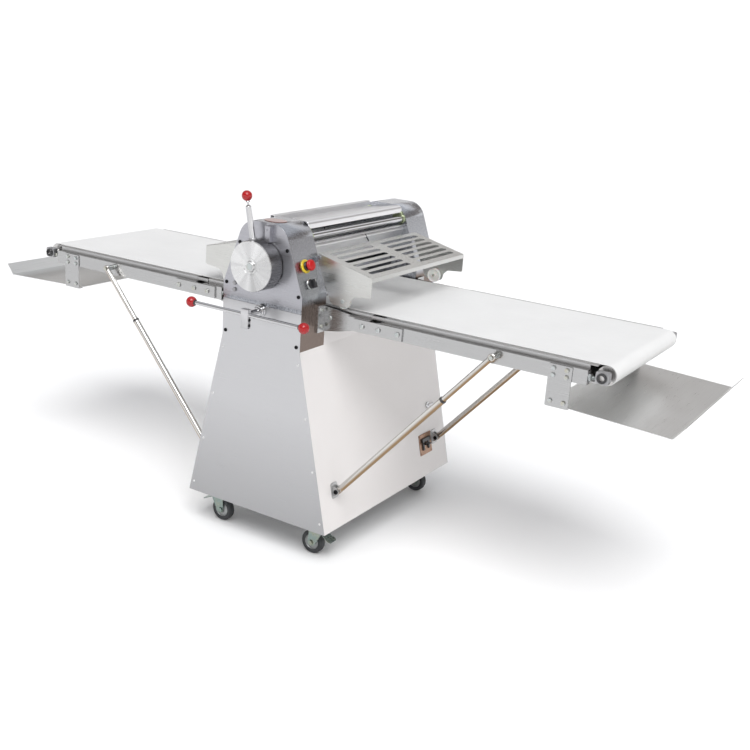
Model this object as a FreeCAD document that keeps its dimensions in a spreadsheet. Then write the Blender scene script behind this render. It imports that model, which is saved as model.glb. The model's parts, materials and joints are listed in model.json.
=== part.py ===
"""Dough sheeter: a wheeled stand, a two-roller head, and two folding belt tables.

Frame: X runs along the tables, Y is the depth with the operator at -Y, and Z is up.
The origin is on the floor under the middle of the machine. Millimetres.
The stand, head and tables are symmetric about the YZ plane, so most pieces are made
on the +X side and mirrored.
"""
import FreeCAD
import Part
import os
import re

import Sketcher
from FreeCAD import Placement, Rotation, Vector

os.makedirs("parts", exist_ok=True)
doc = FreeCAD.newDocument("DoughSheeter")

# Driving dimensions: one named cell each.
SIZES = {
    # clearances
    "overrun": 1,
    "part_gap": 0.3,
    "running_gap": 0.05,
    # stand
    "pad_half_length": 45,
    "pad_half_width": 38,
    "kingpin_reach": 12,
    "curtain_gap": 9,
    "base_half_width": 264,
    "base_bottom": 106,
    "kink_half_width": 143,
    "kink_height": 645,
    "body_half_depth": 380,
    "panel_thickness": 2,
    "frame_tube": 30,
    "frame_inset": 4,
    "floor_sheet": 3,
    # fasteners
    "screw_edge": 12,
    "screw_radius": 5.5,
    "screw_top_drop": 69,
    "screw_low_rise": 14,
    "rivet_radius": 4,
    "rivet_first": 39,
    "rivet_pitch": 156,
    "rivet_foot": 32,
    "hex_x": 100,
    "hex_high": 808,
    "hex_pitch": 20,
    "hex_radius": 6,
    "head_height": 3,
    # head
    "shoulder_height": 806,
    "head_top": 1000,
    "head_top_half": 72,
    "head_corner_radius": 60,
    "roller_span_half": 260,
    "bearing_plate": 10,
    "shell_wall": 3,
    "seam_low": 757,
    "seam_high": 769,
    "hood_depth": 18,
    "hood_wall": 2,
    "seam_lap_low": 4,
    "seam_lap_high": 8,
    "hinge_lug_low": 16,
    "hinge_lug_high": 4,
    "hinge_lug_rim": 8,
    "hinge_lug_tip": 5,
    "hinge_lug_half": 4,
    "hinge_lug_cut": 2,
    "hinge_pin_radius": 3,
    "hinge_head_radius": 6,
    "hinge_head_height": 4,
    # hood and scraper
    "hood_nose": 14,
    "hood_skirt": 22,
    "hood_rear_rail": 16,
    "tie_bar_drop": 44,
    "tie_bar_radius": 11,
    "tie_bar_inset": 2,
    "scraper_rod_drop": 64,
    "scraper_rod_radius": 4.5,
    "scraper_rod_offset": 5,
    "blade_drop": 74,
    "blade_fall": 72,
    "blade_offset": 8,
    "blade_wall": 2,
    "blade_clearance": 12,
    # rollers
    "roller_end_gap": 4,
    "shaft_stub": 24,
    "shaft_end_gap": 4,
    "guide_margin": 8,
    "guide_width": 12,
    "slot_clearance": 0.8,
    "drum_overlap": 3,
    "drive_stub": 20,
    "roller_radius": 42,
    "shaft_radius": 15,
    "roller_sink": 2,
    "nip_rest": 8,
    "nip_down": 7,
    "nip_up": 27,
    "carriage_half": 26,
    "carriage_depth": 24,
    # belts
    "belt_top": 768,
    "belt_thickness": 1.7,
    "belt_margin": 15,
    "end_roller_radius": 25,
    "tension_reach": 38,
    "drive_roller_x": 88,
    "axle_radius": 8,
    # tables
    "flange_depth": 38,
    "flange_drop": 36,
    "bracket_low": 690,
    "bracket_knee_x": 61,
    "bracket_knee_rise": 10,
    "bracket_top_drop": 40,
    "bracket_setback": 6,
    "stub_overlap": 24,
    "link_screw_first": 30,
    "link_screw_last": 15,
    "link_screw_radius": 7,
    "bracket_screw_first": 27,
    "bracket_screw_pitch": 68,
    "bracket_screw_height": 734,
    "bracket_screw_radius": 6,
    "pin_tail": 3,
    "bed_gap": 3,
    "bed_overhang": 2,
    "bed_roller_lap": 20,
    "brace_first": 24,
    "brace_last": 45,
    "brace_drop": 8,
    "table_overhang": 20,
    "rail_drop": 14,
    "rail_height": 40,
    "rail_wall": 3,
    "rail_flange": 22,
    "rail_end_x": 965,
    "fold_x": 342,
    "stub_gap": 32,
    "stub_belt_gap": 5,
    "fold_belt_start": 5,
    "bed_thickness": 2,
    "link_reach_in": 84,
    "link_reach_out": 78,
    "link_height": 36,
    "link_thickness": 5,
    "hinge_pin": 6,
    "bracket_wall": 6,
    "brace_width": 30,
    "brace_height": 18,
    # end trays
    "axle_setback": 2,
    "axle_block_half": 18,
    "axle_block_rise": 16,
    "axle_block_depth": 18,
    "tension_inset": 9,
    "tension_radius": 5,
    "tension_depth": 40,
    "nut_radius": 9,
    "nut_height": 8,
    "end_plate_wall": 6,
    "hanger_foot_depth": 14,
    "hanger_screw_inset": 14,
    "hanger_screw_top": 12,
    "hanger_screw_mid": 9,
    "hanger_screw_low": 16,
    "hanger_screw_radius": 5,
    "hanger_lap": 1,
    "hanger_width": 65,
    "hanger_inset": 40,
    "hanger_drop": 76,
    "tray_reach": 276,
    "tray_fall": 13,
    "tray_lip_run": 27,
    "tray_lip_rise": 36,
    "tray_sheet": 1.5,
    # struts
    "eye_clear_in": 40,
    "eye_clear_out": 16,
    "eye_clear_low": 20,
    "flat_clearance": 2,
    "rod_eye_half": 4,
    "rod_boss_radius": 8,
    "rod_bolt_radius": 6,
    "rod_bolt_height": 5,
    "lug_half": 24,
    "lug_half_width": 16,
    "lug_plate": 3,
    "lug_head_rim": 3,
    "lug_head_height": 4,
    "strut_standoff": 13.8,
    "strut_foot_height": 221,
    "strut_head_x": 707,
    "strut_head_drop": 17,
    "strut_offset": 22,
    "tube_end_gap": 202,
    "tube_radius": 10,
    "rod_radius": 8,
    "rod_start": 168,
    "strut_eye": 10,
    "strut_eye_width": 13,
    "strut_pin": 4,
    "ear_wall": 4,
    # guards
    "guard_lip_drop": 14,
    "guard_wall_clearance": 14,
    "wall_rim": 4,
    "wall_low_drop": 14,
    "lobe_notch": 5,
    "lobe_outer_high": 43,
    "lobe_outer_mid": 29,
    "lobe_outer_low": 24,
    "lobe_inner": 40,
    "lobe_rise": 8,
    "disc_axle_radius": 4,
    "disc_screw_radius": 6,
    "disc_side_gap": 2,
    "slot_depth": 20,
    "slot_height": 10,
    "guard_standoff": 15.2,
    "guard_pivot_height": 905,
    "guard_pivot_drop": 12,
    "guard_reach": 183,
    "guard_slope_fall": 43,
    "guard_skirt_rise": 48,
    "guard_lobe_rise": 7,
    "guard_overhang": 14,
    "guard_sheet": 2,
    "guard_slots": 6,
    "slot_width": 12,
    "slot_first": 20,
    "slot_pitch": 27,
    "slot_inner_y": 24,
    "slot_margin": 28,
    "disc_offset": 87,
    "disc_radius": 22,
    "disc_width": 14,
    # gap handle
    "hub_radius": 14,
    "hub_height": 6,
    "cam_offset": 8,
    "cam_radius": 26,
    "cam_width": 12,
    "cam_setback": 6,
    "dial_shaft_depth": 20,
    "socket_share": 0.55,
    "socket_clearance": 10,
    "dial_height": 880,
    "dial_radius": 73,
    "dial_depth": 54,
    "dial_standoff": 3,
    "dial_shaft": 12,
    "lever_lean": 12,
    "lever_radius": 8.5,
    "lever_length": 156,
    "lever_pin": 3,
    "knob_radius": 15,
    "crown_angle": 80,
    "knob_distance": 196,
    # reversing lever
    "reverse_shaft_depth": 30,
    "reverse_boss_radius": 19,
    "reverse_boss_height": 16,
    "reverse_height": 743,
    "reverse_standoff": 70,
    "reverse_reach": 204,
    "reverse_rod": 6,
    "reverse_knob": 16,
    "clamp_half_width": 13,
    "clamp_top": 760,
    "clamp_bottom": 703,
    "clamp_depth": 16,
    # drive
    "motor_flange": 8,
    "motor_nose_length": 22,
    "motor_cowl_length": 20,
    "motor_cowl_step": 4,
    "motor_foot_start": 60,
    "motor_foot_wall": 8,
    "motor_web_inset": 10,
    "terminal_start": 90,
    "terminal_length": 80,
    "terminal_half_height": 30,
    "terminal_reach": 28,
    "motor_shaft_radius": 9,
    "motor_shaft_depth": 45,
    "shaft_nose": 3,
    "motor_height": 230,
    "motor_radius": 75,
    "motor_pulley": 35,
    "roller_pulley": 60,
    "pulley_width": 18,
    "pulley_inset": 56,
    "vee_height": 8,
    "vee_width": 11,
    # controls
    "stop_ring_radius": 20,
    "stop_ring_wall": 3,
    "stop_collar_radius": 13,
    "stop_collar_height": 9,
    "stop_stem_radius": 6,
    "stop_stem_foot": 8,
    "stop_cap_radius": 16,
    "stop_cap_foot": 16,
    "stop_cap_height": 12,
    "selector_radius": 14,
    "selector_base_height": 8,
    "selector_grip_half": 13,
    "selector_grip_wall": 4,
    "selector_grip_height": 20,
    "lock_radius": 11,
    "lock_height_out": 5,
    "lock_key_half": 3,
    "lock_key_length": 30,
    "lock_key_height": 10,
    "breaker_half_height": 36,
    "breaker_wall": 2,
    "breaker_body_half": 22,
    "breaker_body_depth": 14,
    "breaker_body_width": 26,
    "toggle_half_length": 12,
    "toggle_lever_half": 10,
    "toggle_lever_wall": 2,
    "toggle_reach": 26,
    "stop_height": 885,
    "stop_inset": 50,
    "selector_height": 836,
    "selector_inset": 55,
    "lock_height": 334,
    "lock_inset": 18,
    "breaker_height": 212,
    "breaker_inset": 59,
    "breaker_half_width": 39,
    "toggle_radius": 7,
    "toggle_offset": 8.5,
    # casters
    "crown_radius": 24,
    "crown_height": 7,
    "fork_inner": 34,
    "fork_outer": 18,
    "fork_deck": 10,
    "fork_bore_depth": 20,
    "fork_nose_half": 11,
    "fork_nose_drop": 8,
    "fork_side_gap": 1,
    "wheel_axle": 5,
    "wheel_axle_reach": 4,
    "caster_side_inset": 59,
    "caster_end_inset": 70,
    "wheel_radius": 37.5,
    "wheel_width": 24,
    "caster_trail": 26,
    "caster_plate": 6,
    "fork_wall": 3,
    "kingpin": 6,
}

# Sizes and places that follow from the driving dimensions.
FORMULAS = {
    "lean": "(base_half_width - kink_half_width) / (kink_height - base_bottom)",
    "lean_run": "sqrt(1 + lean * lean)",
    "slope": "(kink_half_width - head_top_half) / (head_top - shoulder_height)",
    "slope_run": "sqrt(1 + slope * slope)",
    "frame_foot": "base_half_width - frame_inset",
    "frame_head": "kink_half_width - frame_inset",
    "frame_half_depth": "body_half_depth - panel_thickness",
    "inner_foot": "frame_foot - frame_tube * (1 + lean)",
    "inner_head": "frame_head - frame_tube * (1 - lean)",
    "shell_front": "body_half_depth - panel_thickness",
    "upper_roller_height": "lower_roller_height + 2 * roller_radius + nip_rest",
    "band_radius": "end_roller_radius + part_gap + belt_thickness",
    "end_roller_height": "belt_top - band_radius",
    "bed_top": "belt_top - belt_thickness - part_gap",
    "bed_half": "roller_span_half - part_gap",
    "rail_bottom": "rail_top - rail_height",
    "fold_height": "rail_top - rail_height / 2",
    "table_belt_start": "fold_x + fold_belt_start",
    "link_face": "table_half_depth + part_gap",
    "strut_run": "strut_head_x - strut_foot_x",
    "strut_rise": "strut_head_height - strut_foot_height",
    "strut_length": "sqrt(strut_run * strut_run + strut_rise * strut_rise)",
    "strut_cos": "strut_run / strut_length",
    "strut_sin": "strut_rise / strut_length",
    "ear_inner": "strut_eye_width / 2 + part_gap",
    "guard_top_height": "guard_pivot_height + guard_pivot_drop",
    "disc_height": "belt_top + disc_radius + part_gap",
    "shaft_inner": "roller_span_half + bearing_plate + part_gap",
    "reverse_y": "body_half_depth + reverse_standoff",
    "dial_back": "body_half_depth + dial_standoff",
    "dial_front": "dial_back + dial_depth",
    "lever_y": "dial_back + dial_depth / 2",
    "knob_x": "-knob_distance * sin(lever_lean)",
    "knob_height": "dial_height + knob_distance * cos(lever_lean)",
    "pulley_rise": "lower_roller_height - motor_height",
    "vee_sin": "(roller_pulley - motor_pulley) / pulley_rise",
    "vee_cos": "sqrt(1 - vee_sin * vee_sin)",
    "vee_base": "vee_height / 2 - part_gap",
    "caster_top": "base_bottom - caster_plate",
    "hanger_face": "table_half_depth + part_gap",
    "tray_start_height": "hanger_bottom + rail_wall",
    "lower_roller_height": "belt_top - roller_sink - roller_radius",
    "belt_half_width": "roller_span_half - belt_margin",
    "table_half_depth": "roller_span_half + table_overhang",
    "rail_top": "belt_top - rail_drop",
    "end_roller_x": "rail_end_x + tension_reach",
    "stub_end_x": "fold_x - stub_gap",
    "inner_belt_end": "stub_end_x - stub_belt_gap",
    "link_start": "fold_x - link_reach_in",
    "link_end": "fold_x + link_reach_out",
    "hanger_end": "rail_end_x - hanger_inset",
    "hanger_start": "hanger_end - hanger_width",
    "hanger_bottom": "rail_bottom - hanger_drop",
    "tray_end": "hanger_end + tray_reach",
    "tray_end_height": "tray_start_height - tray_fall",
    "tray_lip_x": "tray_end + tray_lip_run",
    "tray_lip_height": "tray_end_height + tray_lip_rise",
    "strut_foot_x": "base_half_width - (strut_foot_height - base_bottom) * lean + strut_standoff",
    "strut_head_height": "rail_top - strut_head_drop",
    "strut_side": "table_half_depth + strut_offset",
    "tube_length": "strut_length - tube_end_gap",
    "rod_length": "strut_length - rod_start",
    "guard_pivot_x": "kink_half_width - (guard_pivot_height - shoulder_height) * slope + guard_standoff",
    "guard_outer_x": "guard_pivot_x + guard_reach",
    "guard_outer_height": "guard_top_height - guard_slope_fall",
    "guard_skirt": "belt_top + guard_skirt_rise",
    "guard_lobe": "belt_top + guard_lobe_rise",
    "guard_half_depth": "roller_span_half + guard_overhang",
    "slot_first_x": "guard_pivot_x + slot_first",
    "slot_outer_y": "guard_half_depth - slot_margin",
    "disc_x": "guard_pivot_x + disc_offset",
    "pulley_y": "body_half_depth - pulley_inset",
    "stop_side": "body_half_depth - stop_inset",
    "selector_side": "body_half_depth - selector_inset",
    "lock_side": "strut_side - lock_inset",
    "breaker_side": "strut_side - breaker_inset",
    "caster_x": "base_half_width - caster_side_inset",
    "caster_y": "body_half_depth - caster_end_inset",
}

sheet = doc.addObject("Spreadsheet::Sheet", "Sizes")
for row, (alias, number) in enumerate(SIZES.items(), start=1):
    sheet.set(f"A{row}", alias)
    sheet.set(f"B{row}", str(number))
    sheet.setAlias(f"B{row}", alias)
doc.recompute()

WORD = re.compile(r"[a-z]+(?:_[a-z0-9]+)*")
NODES = []


def expand(text):
    """Write every size and formula name in text as sheet references."""
    def swap(match):
        word = match.group(0)
        if word in SIZES:
            return "Sizes." + word
        if word in FORMULAS:
            return "(" + expand(FORMULAS[word]) + ")"
        return word
    return WORD.sub(swap, str(text))


def bind(item, prop, text):
    item.setExpression(prop, expand(text))


def value(text):
    return float(sheet.evalExpression(expand(text)))


def node(label, item):
    """Name a finished sub-part: its label is its file name."""
    item.Label = label
    NODES.append(item)
    return item


def box(label, x, y, z):
    """A block from three (low, high) pairs."""
    item = doc.addObject("Part::Box", label)
    sides = ("Length", "Width", "Height")
    for axis, side, (low, high) in zip("xyz", sides, (x, y, z)):
        bind(item, f"Placement.Base.{axis}", low)
        bind(item, side, f"({high}) - ({low})")
    return item


ALONG = {
    "x": Rotation(Vector(0, 1, 0), 90),
    "y": Rotation(Vector(-1, 0, 0), 90),
    "z": Rotation(),
}


def rod(label, axis, centre, radius, span):
    """A cylinder along one axis; centre gives the other two places in X, Y, Z order."""
    item = doc.addObject("Part::Cylinder", label)
    item.Placement = Placement(Vector(), ALONG[axis])
    others = [name for name in "xyz" if name != axis]
    for name, place in zip(others, centre):
        bind(item, f"Placement.Base.{name}", place)
    bind(item, f"Placement.Base.{axis}", span[0])
    bind(item, "Height", f"({span[1]}) - ({span[0]})")
    bind(item, "Radius", radius)
    return item


def ball(label, centre, radius, axis, tilt):
    """A ball with a small flat on its crown, its stem tilted from Z about an axis."""
    item = doc.addObject("Part::Sphere", label)
    item.Placement = Placement(Vector(), Rotation(Vector(*axis), 10))
    bind(item, "Placement.Rotation.Angle", tilt)
    for axis, place in zip("xyz", centre):
        bind(item, f"Placement.Base.{axis}", place)
    bind(item, "Radius", radius)
    bind(item, "Angle2", "crown_angle")
    return item


def profile(label, points, span, rounds=()):
    """A closed outline in X and Z, padded along Y; rounds lists (corner, radius)."""
    body = doc.addObject("PartDesign::Body", label)
    sketch = body.newObject("Sketcher::SketchObject", label + "_outline")
    plane = [item for item in body.Origin.OriginFeatures if item.Role == "XZ_Plane"][0]
    sketch.AttachmentSupport = [(plane, "")]
    sketch.MapMode = "FlatFace"
    corners = [Vector(value(x), value(z), 0) for x, z in points]
    count = len(corners)
    for index in range(count):
        line = Part.LineSegment(corners[index], corners[(index + 1) % count])
        sketch.addGeometry(line, False)
    for index in range(count):
        joined = Sketcher.Constraint("Coincident", index, 2, (index + 1) % count, 1)
        sketch.addConstraint(joined)
    for index, (x, z) in enumerate(points):
        for kind, text, number in (("DistanceX", x, corners[index].x), ("DistanceY", z, corners[index].y)):
            place = sketch.addConstraint(Sketcher.Constraint(kind, -1, 1, index, 1, number))
            sketch.setExpression(f"Constraints[{place}]", expand(text))
    pad = body.newObject("PartDesign::Pad", label + "_pad")
    pad.Profile = sketch
    bind(pad, "Length", f"({span[1]}) - ({span[0]})")
    bind(body, "Placement.Base.y", span[1])
    if rounds:
        doc.recompute()
        fillet = body.newObject("PartDesign::Fillet", label + "_rounds")
        fillet.Base = (pad, [corner_edge(pad.Shape, corners[index]) for index, _ in rounds])
        bind(fillet, "Radius", rounds[0][1])
        body.Tip = fillet
    return body


def corner_edge(shape, corner):
    """The name of the padded edge that stands on one corner of an outline."""
    for number, edge in enumerate(shape.Edges, start=1):
        ends = [vertex.Point for vertex in edge.Vertexes]
        if all(abs(end.x - corner.x) < 1e-3 and abs(end.z - corner.y) < 1e-3 for end in ends):
            return f"Edge{number}"
    raise ValueError("no edge stands on this corner")


def fuse(label, items):
    item = doc.addObject("Part::MultiFuse", label)
    item.Shapes = items
    return item


def cut(label, base, tools):
    item = doc.addObject("Part::Cut", label)
    item.Base = base
    item.Tool = tools[0] if len(tools) == 1 else fuse(label + "_tools", tools)
    return item


def group(label, items):
    item = doc.addObject("Part::Compound", label)
    item.Links = items
    return item


def mirror(label, source, axis):
    item = doc.addObject("Part::Mirroring", label)
    item.Source = source
    item.Normal = Vector(*(1 if name == axis else 0 for name in "xyz"))
    return item


def both(label, source, axis):
    """A piece and its mirror image as one group of separate solids."""
    return group(label, [source, mirror(label + "_twin", source, axis)])


def lean_out(item, x, y, z, tangent):
    """Lay a piece, drawn with +Z outwards, on a face that leans back by a tangent."""
    item.Placement = Placement(Vector(), Rotation(Vector(0, 1, 0), 60))
    bind(item, "Placement.Base.x", x)
    bind(item, "Placement.Base.y", y)
    bind(item, "Placement.Base.z", z)
    item.setExpression("Placement.Rotation.Angle", f"90 deg - atan({expand(tangent)})")
    return item


def panel_x(height):
    """X of the outside of the stand's sloping side at a height."""
    return f"(base_half_width - (({height}) - base_bottom) * lean)"


def head_x(height):
    """X of the outside of the head's sloping face at a height."""
    return f"(kink_half_width - (({height}) - shoulder_height) * slope)"


# ---------------------------------------------------------------- stand
def end_ring(label, span):
    outer = profile(label + "_outer", [
        ("-frame_foot", "base_bottom"), ("frame_foot", "base_bottom"),
        ("frame_head", "kink_height"), ("-frame_head", "kink_height")], span)
    inner = profile(label + "_inner", [
        ("-inner_foot", "base_bottom + frame_tube"), ("inner_foot", "base_bottom + frame_tube"),
        ("inner_head", "kink_height - frame_tube"), ("-inner_head", "kink_height - frame_tube")], span)
    return cut(label, outer, [inner])


def make_base_frame():
    near = end_ring("near_ring", ("-frame_half_depth", "frame_tube - frame_half_depth"))
    far = end_ring("far_ring", ("frame_half_depth - frame_tube", "frame_half_depth"))
    depth = ("frame_tube - frame_half_depth", "frame_half_depth - frame_tube")
    bars = []
    for side in ("", "-"):
        low = ("inner_foot", "inner_foot + frame_tube")
        high = ("frame_head - frame_tube", "frame_head")
        if side:
            low = tuple(f"-({edge})" for edge in reversed(low))
            high = tuple(f"-({edge})" for edge in reversed(high))
        bars.append(box("floor_bar", low, depth, ("base_bottom", "base_bottom + frame_tube")))
        bars.append(box("head_bar", high, depth, ("kink_height - frame_tube", "kink_height")))
    floor = box("floor_sheet_plate", ("-inner_foot", "inner_foot"), depth,
                ("base_bottom", "base_bottom + floor_sheet"))
    frame = fuse("frame_weldment", [near, far, floor] + bars)
    plate = box("caster_pad", ("caster_x - pad_half_length", "caster_x + pad_half_length"),
                ("caster_y - pad_half_width", "caster_y + pad_half_width"),
                ("caster_top", "base_bottom"))
    pin = rod("caster_kingpin", "z", ("caster_x", "caster_y"), "kingpin",
              ("caster_top - kingpin_reach", "caster_top"))
    pad = fuse("caster_mount", [plate, pin])
    row = both("caster_mount_row", pad, "y")
    return node("base_frame", group("base_frame", [frame, both("caster_mounts", row, "x")]))


def make_panels():
    skirt = profile("front_sheet", [
        ("-base_half_width", "base_bottom"), ("base_half_width", "base_bottom"),
        ("kink_half_width", "kink_height"), ("kink_half_width", "seam_low"),
        ("-kink_half_width", "seam_low"), ("-kink_half_width", "kink_height")],
        ("-body_half_depth", "-frame_half_depth"))
    hole = rod("reverse_hole", "y", ("0", "reverse_height"), "axle_radius + running_gap",
               ("-body_half_depth - overrun", "overrun - frame_half_depth"))
    node("front_panel", cut("front_panel", skirt, [hole]))

    face = profile("head_face", [
        ("-kink_half_width", "seam_high"), ("kink_half_width", "seam_high"),
        ("kink_half_width", "shoulder_height"), ("head_top_half", "head_top"),
        ("-head_top_half", "head_top"), ("-kink_half_width", "shoulder_height")],
        ("-body_half_depth", "-frame_half_depth"),
        [(3, "head_corner_radius"), (4, "head_corner_radius")])
    hole = rod("dial_hole", "y", ("0", "dial_height"), "dial_shaft + running_gap",
               ("-body_half_depth - overrun", "overrun - frame_half_depth"))
    node("front_plate", cut("front_plate", face, [hole]))

    node("rear_panel", profile("rear_panel", [
        ("-base_half_width", "base_bottom"), ("base_half_width", "base_bottom"),
        ("kink_half_width", "kink_height"), ("kink_half_width", "shoulder_height"),
        ("head_top_half", "head_top"), ("-head_top_half", "head_top"),
        ("-kink_half_width", "shoulder_height"), ("-kink_half_width", "kink_height")],
        ("frame_half_depth", "body_half_depth"),
        [(4, "head_corner_radius"), (5, "head_corner_radius")]))

    wall = "panel_thickness * lean_run"
    side = profile("side_sheet", [
        (f"base_half_width - {wall}", "base_bottom"), ("base_half_width", "base_bottom"),
        ("kink_half_width", "kink_height"), (f"kink_half_width - {wall}", "kink_height")],
        ("-frame_half_depth", "frame_half_depth"))
    curtain = box("side_curtain", ("kink_half_width - panel_thickness", "kink_half_width"),
                  ("-roller_span_half", "roller_span_half"), ("kink_height", "rail_bottom - curtain_gap"))
    right = node("right_panel", fuse("right_panel", [side, curtain]))
    node("left_panel", mirror("left_panel", right, "x"))


def make_fasteners():
    """Screws and rivets along the edges of the front and rear sheets."""
    top = "head_top - screw_top_drop"
    rows = [
        (top, f"{head_x(top)} - screw_edge", "screw_radius"),
        ("shoulder_height", "kink_half_width - screw_edge", "screw_radius"),
        ("kink_height + screw_low_rise", "kink_half_width - screw_edge", "screw_radius"),
    ]
    rivets = [f"kink_height - rivet_first - {index} * rivet_pitch" for index in range(3)]
    for height in rivets + ["base_bottom + rivet_foot"]:
        rows.append((height, f"{panel_x(height)} - screw_edge", "rivet_radius"))
    face = ("-body_half_depth - head_height", "-body_half_depth")
    heads = []
    for height, x, radius in rows:
        heads.append(rod("edge_head", "y", (x, height), radius, face))
        heads.append(rod("edge_head", "y", (f"-({x})", height), radius, face))
    hexes = [rod("hex_head", "y", ("-hex_x", height), "hex_radius", face)
             for height in ("hex_high", "hex_high - hex_pitch")]
    rear = mirror("rear_heads", group("edge_heads", heads), "y")
    node("panel_screws", group("panel_screws", heads + hexes + [rear]))


def make_strut_lugs():
    low = "strut_foot_height - lug_half"
    high = "strut_foot_height + lug_half"
    span = ("-strut_side - lug_half_width", "lug_half_width - strut_side")
    backing = profile("lug_backing", [
        (panel_x(low), low), (f"{panel_x(low)} + lug_plate", low),
        (f"{panel_x(high)} + lug_plate", high), (panel_x(high), high)], span)
    pieces = [backing]
    low = "strut_foot_height - strut_eye"
    high = "strut_foot_height + strut_eye"
    for start in ("-strut_side - ear_inner - ear_wall", "ear_inner - strut_side"):
        span = (start, f"{start} + ear_wall")
        pieces.append(profile("lug_ear", [
            (panel_x(low), low), ("strut_foot_x", low),
            ("strut_foot_x", high), (panel_x(high), high)], span))
        pieces.append(rod("lug_eye", "y", ("strut_foot_x", "strut_foot_height"), "strut_eye", span))
    centre = ("strut_foot_x", "strut_foot_height")
    pieces.append(rod("lug_pin", "y", centre, "strut_pin",
                      ("-strut_side - ear_inner - ear_wall", "ear_inner + ear_wall - strut_side")))
    face = "-strut_side - ear_inner - ear_wall"
    pieces.append(rod("lug_head", "y", centre, "strut_pin + lug_head_rim",
                      (f"{face} - lug_head_height", face)))
    lug = fuse("strut_lug", pieces)
    node("strut_lugs", both("strut_lugs", both("strut_lug_pair", lug, "y"), "x"))


# ---------------------------------------------------------------- head
def make_housings():
    wall = "shell_wall * slope_run"
    outer = profile("housing_outer", [
        ("-kink_half_width", "kink_height"), ("kink_half_width", "kink_height"),
        ("kink_half_width", "shoulder_height"), ("head_top_half", "head_top"),
        ("-head_top_half", "head_top"), ("-kink_half_width", "shoulder_height")],
        ("-shell_front", "-roller_span_half"),
        [(3, "head_corner_radius"), (4, "head_corner_radius")])
    top = f"head_top_half - {wall} + shell_wall * slope"
    inner = profile("housing_inner", [
        (f"{wall} - kink_half_width", "kink_height - overrun"),
        (f"kink_half_width - {wall}", "kink_height - overrun"),
        (f"kink_half_width - {wall}", "shoulder_height"), (top, "head_top - shell_wall"),
        (f"-({top})", "head_top - shell_wall"), (f"{wall} - kink_half_width", "shoulder_height")],
        ("-shell_front - overrun", "-roller_span_half - bearing_plate"),
        [(3, "head_corner_radius - shell_wall"), (4, "head_corner_radius - shell_wall")])
    shell = cut("housing_shell", outer, [inner])
    plate = ("-roller_span_half - bearing_plate", "-roller_span_half")
    through = ("-roller_span_half - bearing_plate - overrun", "overrun - roller_span_half")
    seam = box("seam_bar", (f"{wall} - kink_half_width", f"kink_half_width - {wall}"),
               ("-shell_front", "panel_thickness - shell_front"), 
               ("seam_low - seam_lap_low", "seam_high + seam_lap_high"))
    slide = "carriage_half + part_gap"
    low = "upper_roller_height - nip_down - carriage_half - guide_margin"
    high = "upper_roller_height + nip_up + carriage_half + guide_margin"
    depth = ("-roller_span_half - bearing_plate - carriage_depth", "-roller_span_half - bearing_plate")
    guides = [box("carriage_guide", (slide, f"{slide} + guide_width"), depth, (low, high)),
              box("carriage_guide", (f"-({slide} + guide_width)", f"-({slide})"), depth, (low, high))]
    # guard hinge lug on each sloping face, with its pin
    pieces = [shell, seam] + guides
    lug_span = ("-guard_half_depth + guard_sheet + part_gap", "-roller_span_half")
    for sign in ("", "-"):
        low = "guard_pivot_height - hinge_lug_low"
        high = "guard_pivot_height - hinge_lug_high"
        lug = profile("guard_lug", [
            (f"{sign}({head_x(low)} - overrun)", low),
            (f"{sign}(guard_pivot_x + hinge_lug_half)", "guard_pivot_height - hinge_lug_rim"),
            (f"{sign}(guard_pivot_x + hinge_lug_half)", "guard_pivot_height + hinge_lug_tip"),
            (f"{sign}(guard_pivot_x - hinge_lug_half)", "guard_pivot_height + hinge_lug_tip"),
            (f"{sign}(guard_pivot_x - 2 * hinge_lug_half)", "guard_pivot_height - hinge_lug_cut"),
            (f"{sign}({head_x(high)} - overrun)", high)], lug_span)
        centre = (f"{sign}guard_pivot_x", "guard_pivot_height")
        pin = rod("guard_pin", "y", centre, "hinge_pin_radius",
                  ("-guard_half_depth - overrun", "-roller_span_half"))
        head = rod("guard_pin_head", "y", centre, "hinge_head_radius",
                   ("-guard_half_depth - hinge_head_height", "-guard_half_depth - part_gap"))
        pieces += [lug, pin, head]
    body = fuse("housing_body", pieces)
    clear = "shaft_radius + slot_clearance"
    low = "upper_roller_height - nip_down"
    high = "upper_roller_height + nip_up"
    bores = [
        rod("lower_bore", "y", ("0", "lower_roller_height"), "shaft_radius + running_gap", through),
        rod("slot_low", "y", ("0", low), clear, through),
        rod("slot_high", "y", ("0", high), clear, through),
        box("slot_mid", (f"-({clear})", clear), through, (low, high)),
        rod("drive_bore", "y", ("drive_roller_x", "end_roller_height"), "axle_radius + running_gap", through),
        rod("drive_bore", "y", ("-drive_roller_x", "end_roller_height"), "axle_radius + running_gap",
            through),
    ]
    front = node("front_housing", cut("front_housing", body, bores))
    node("rear_housing", mirror("rear_housing", front, "y"))


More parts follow.
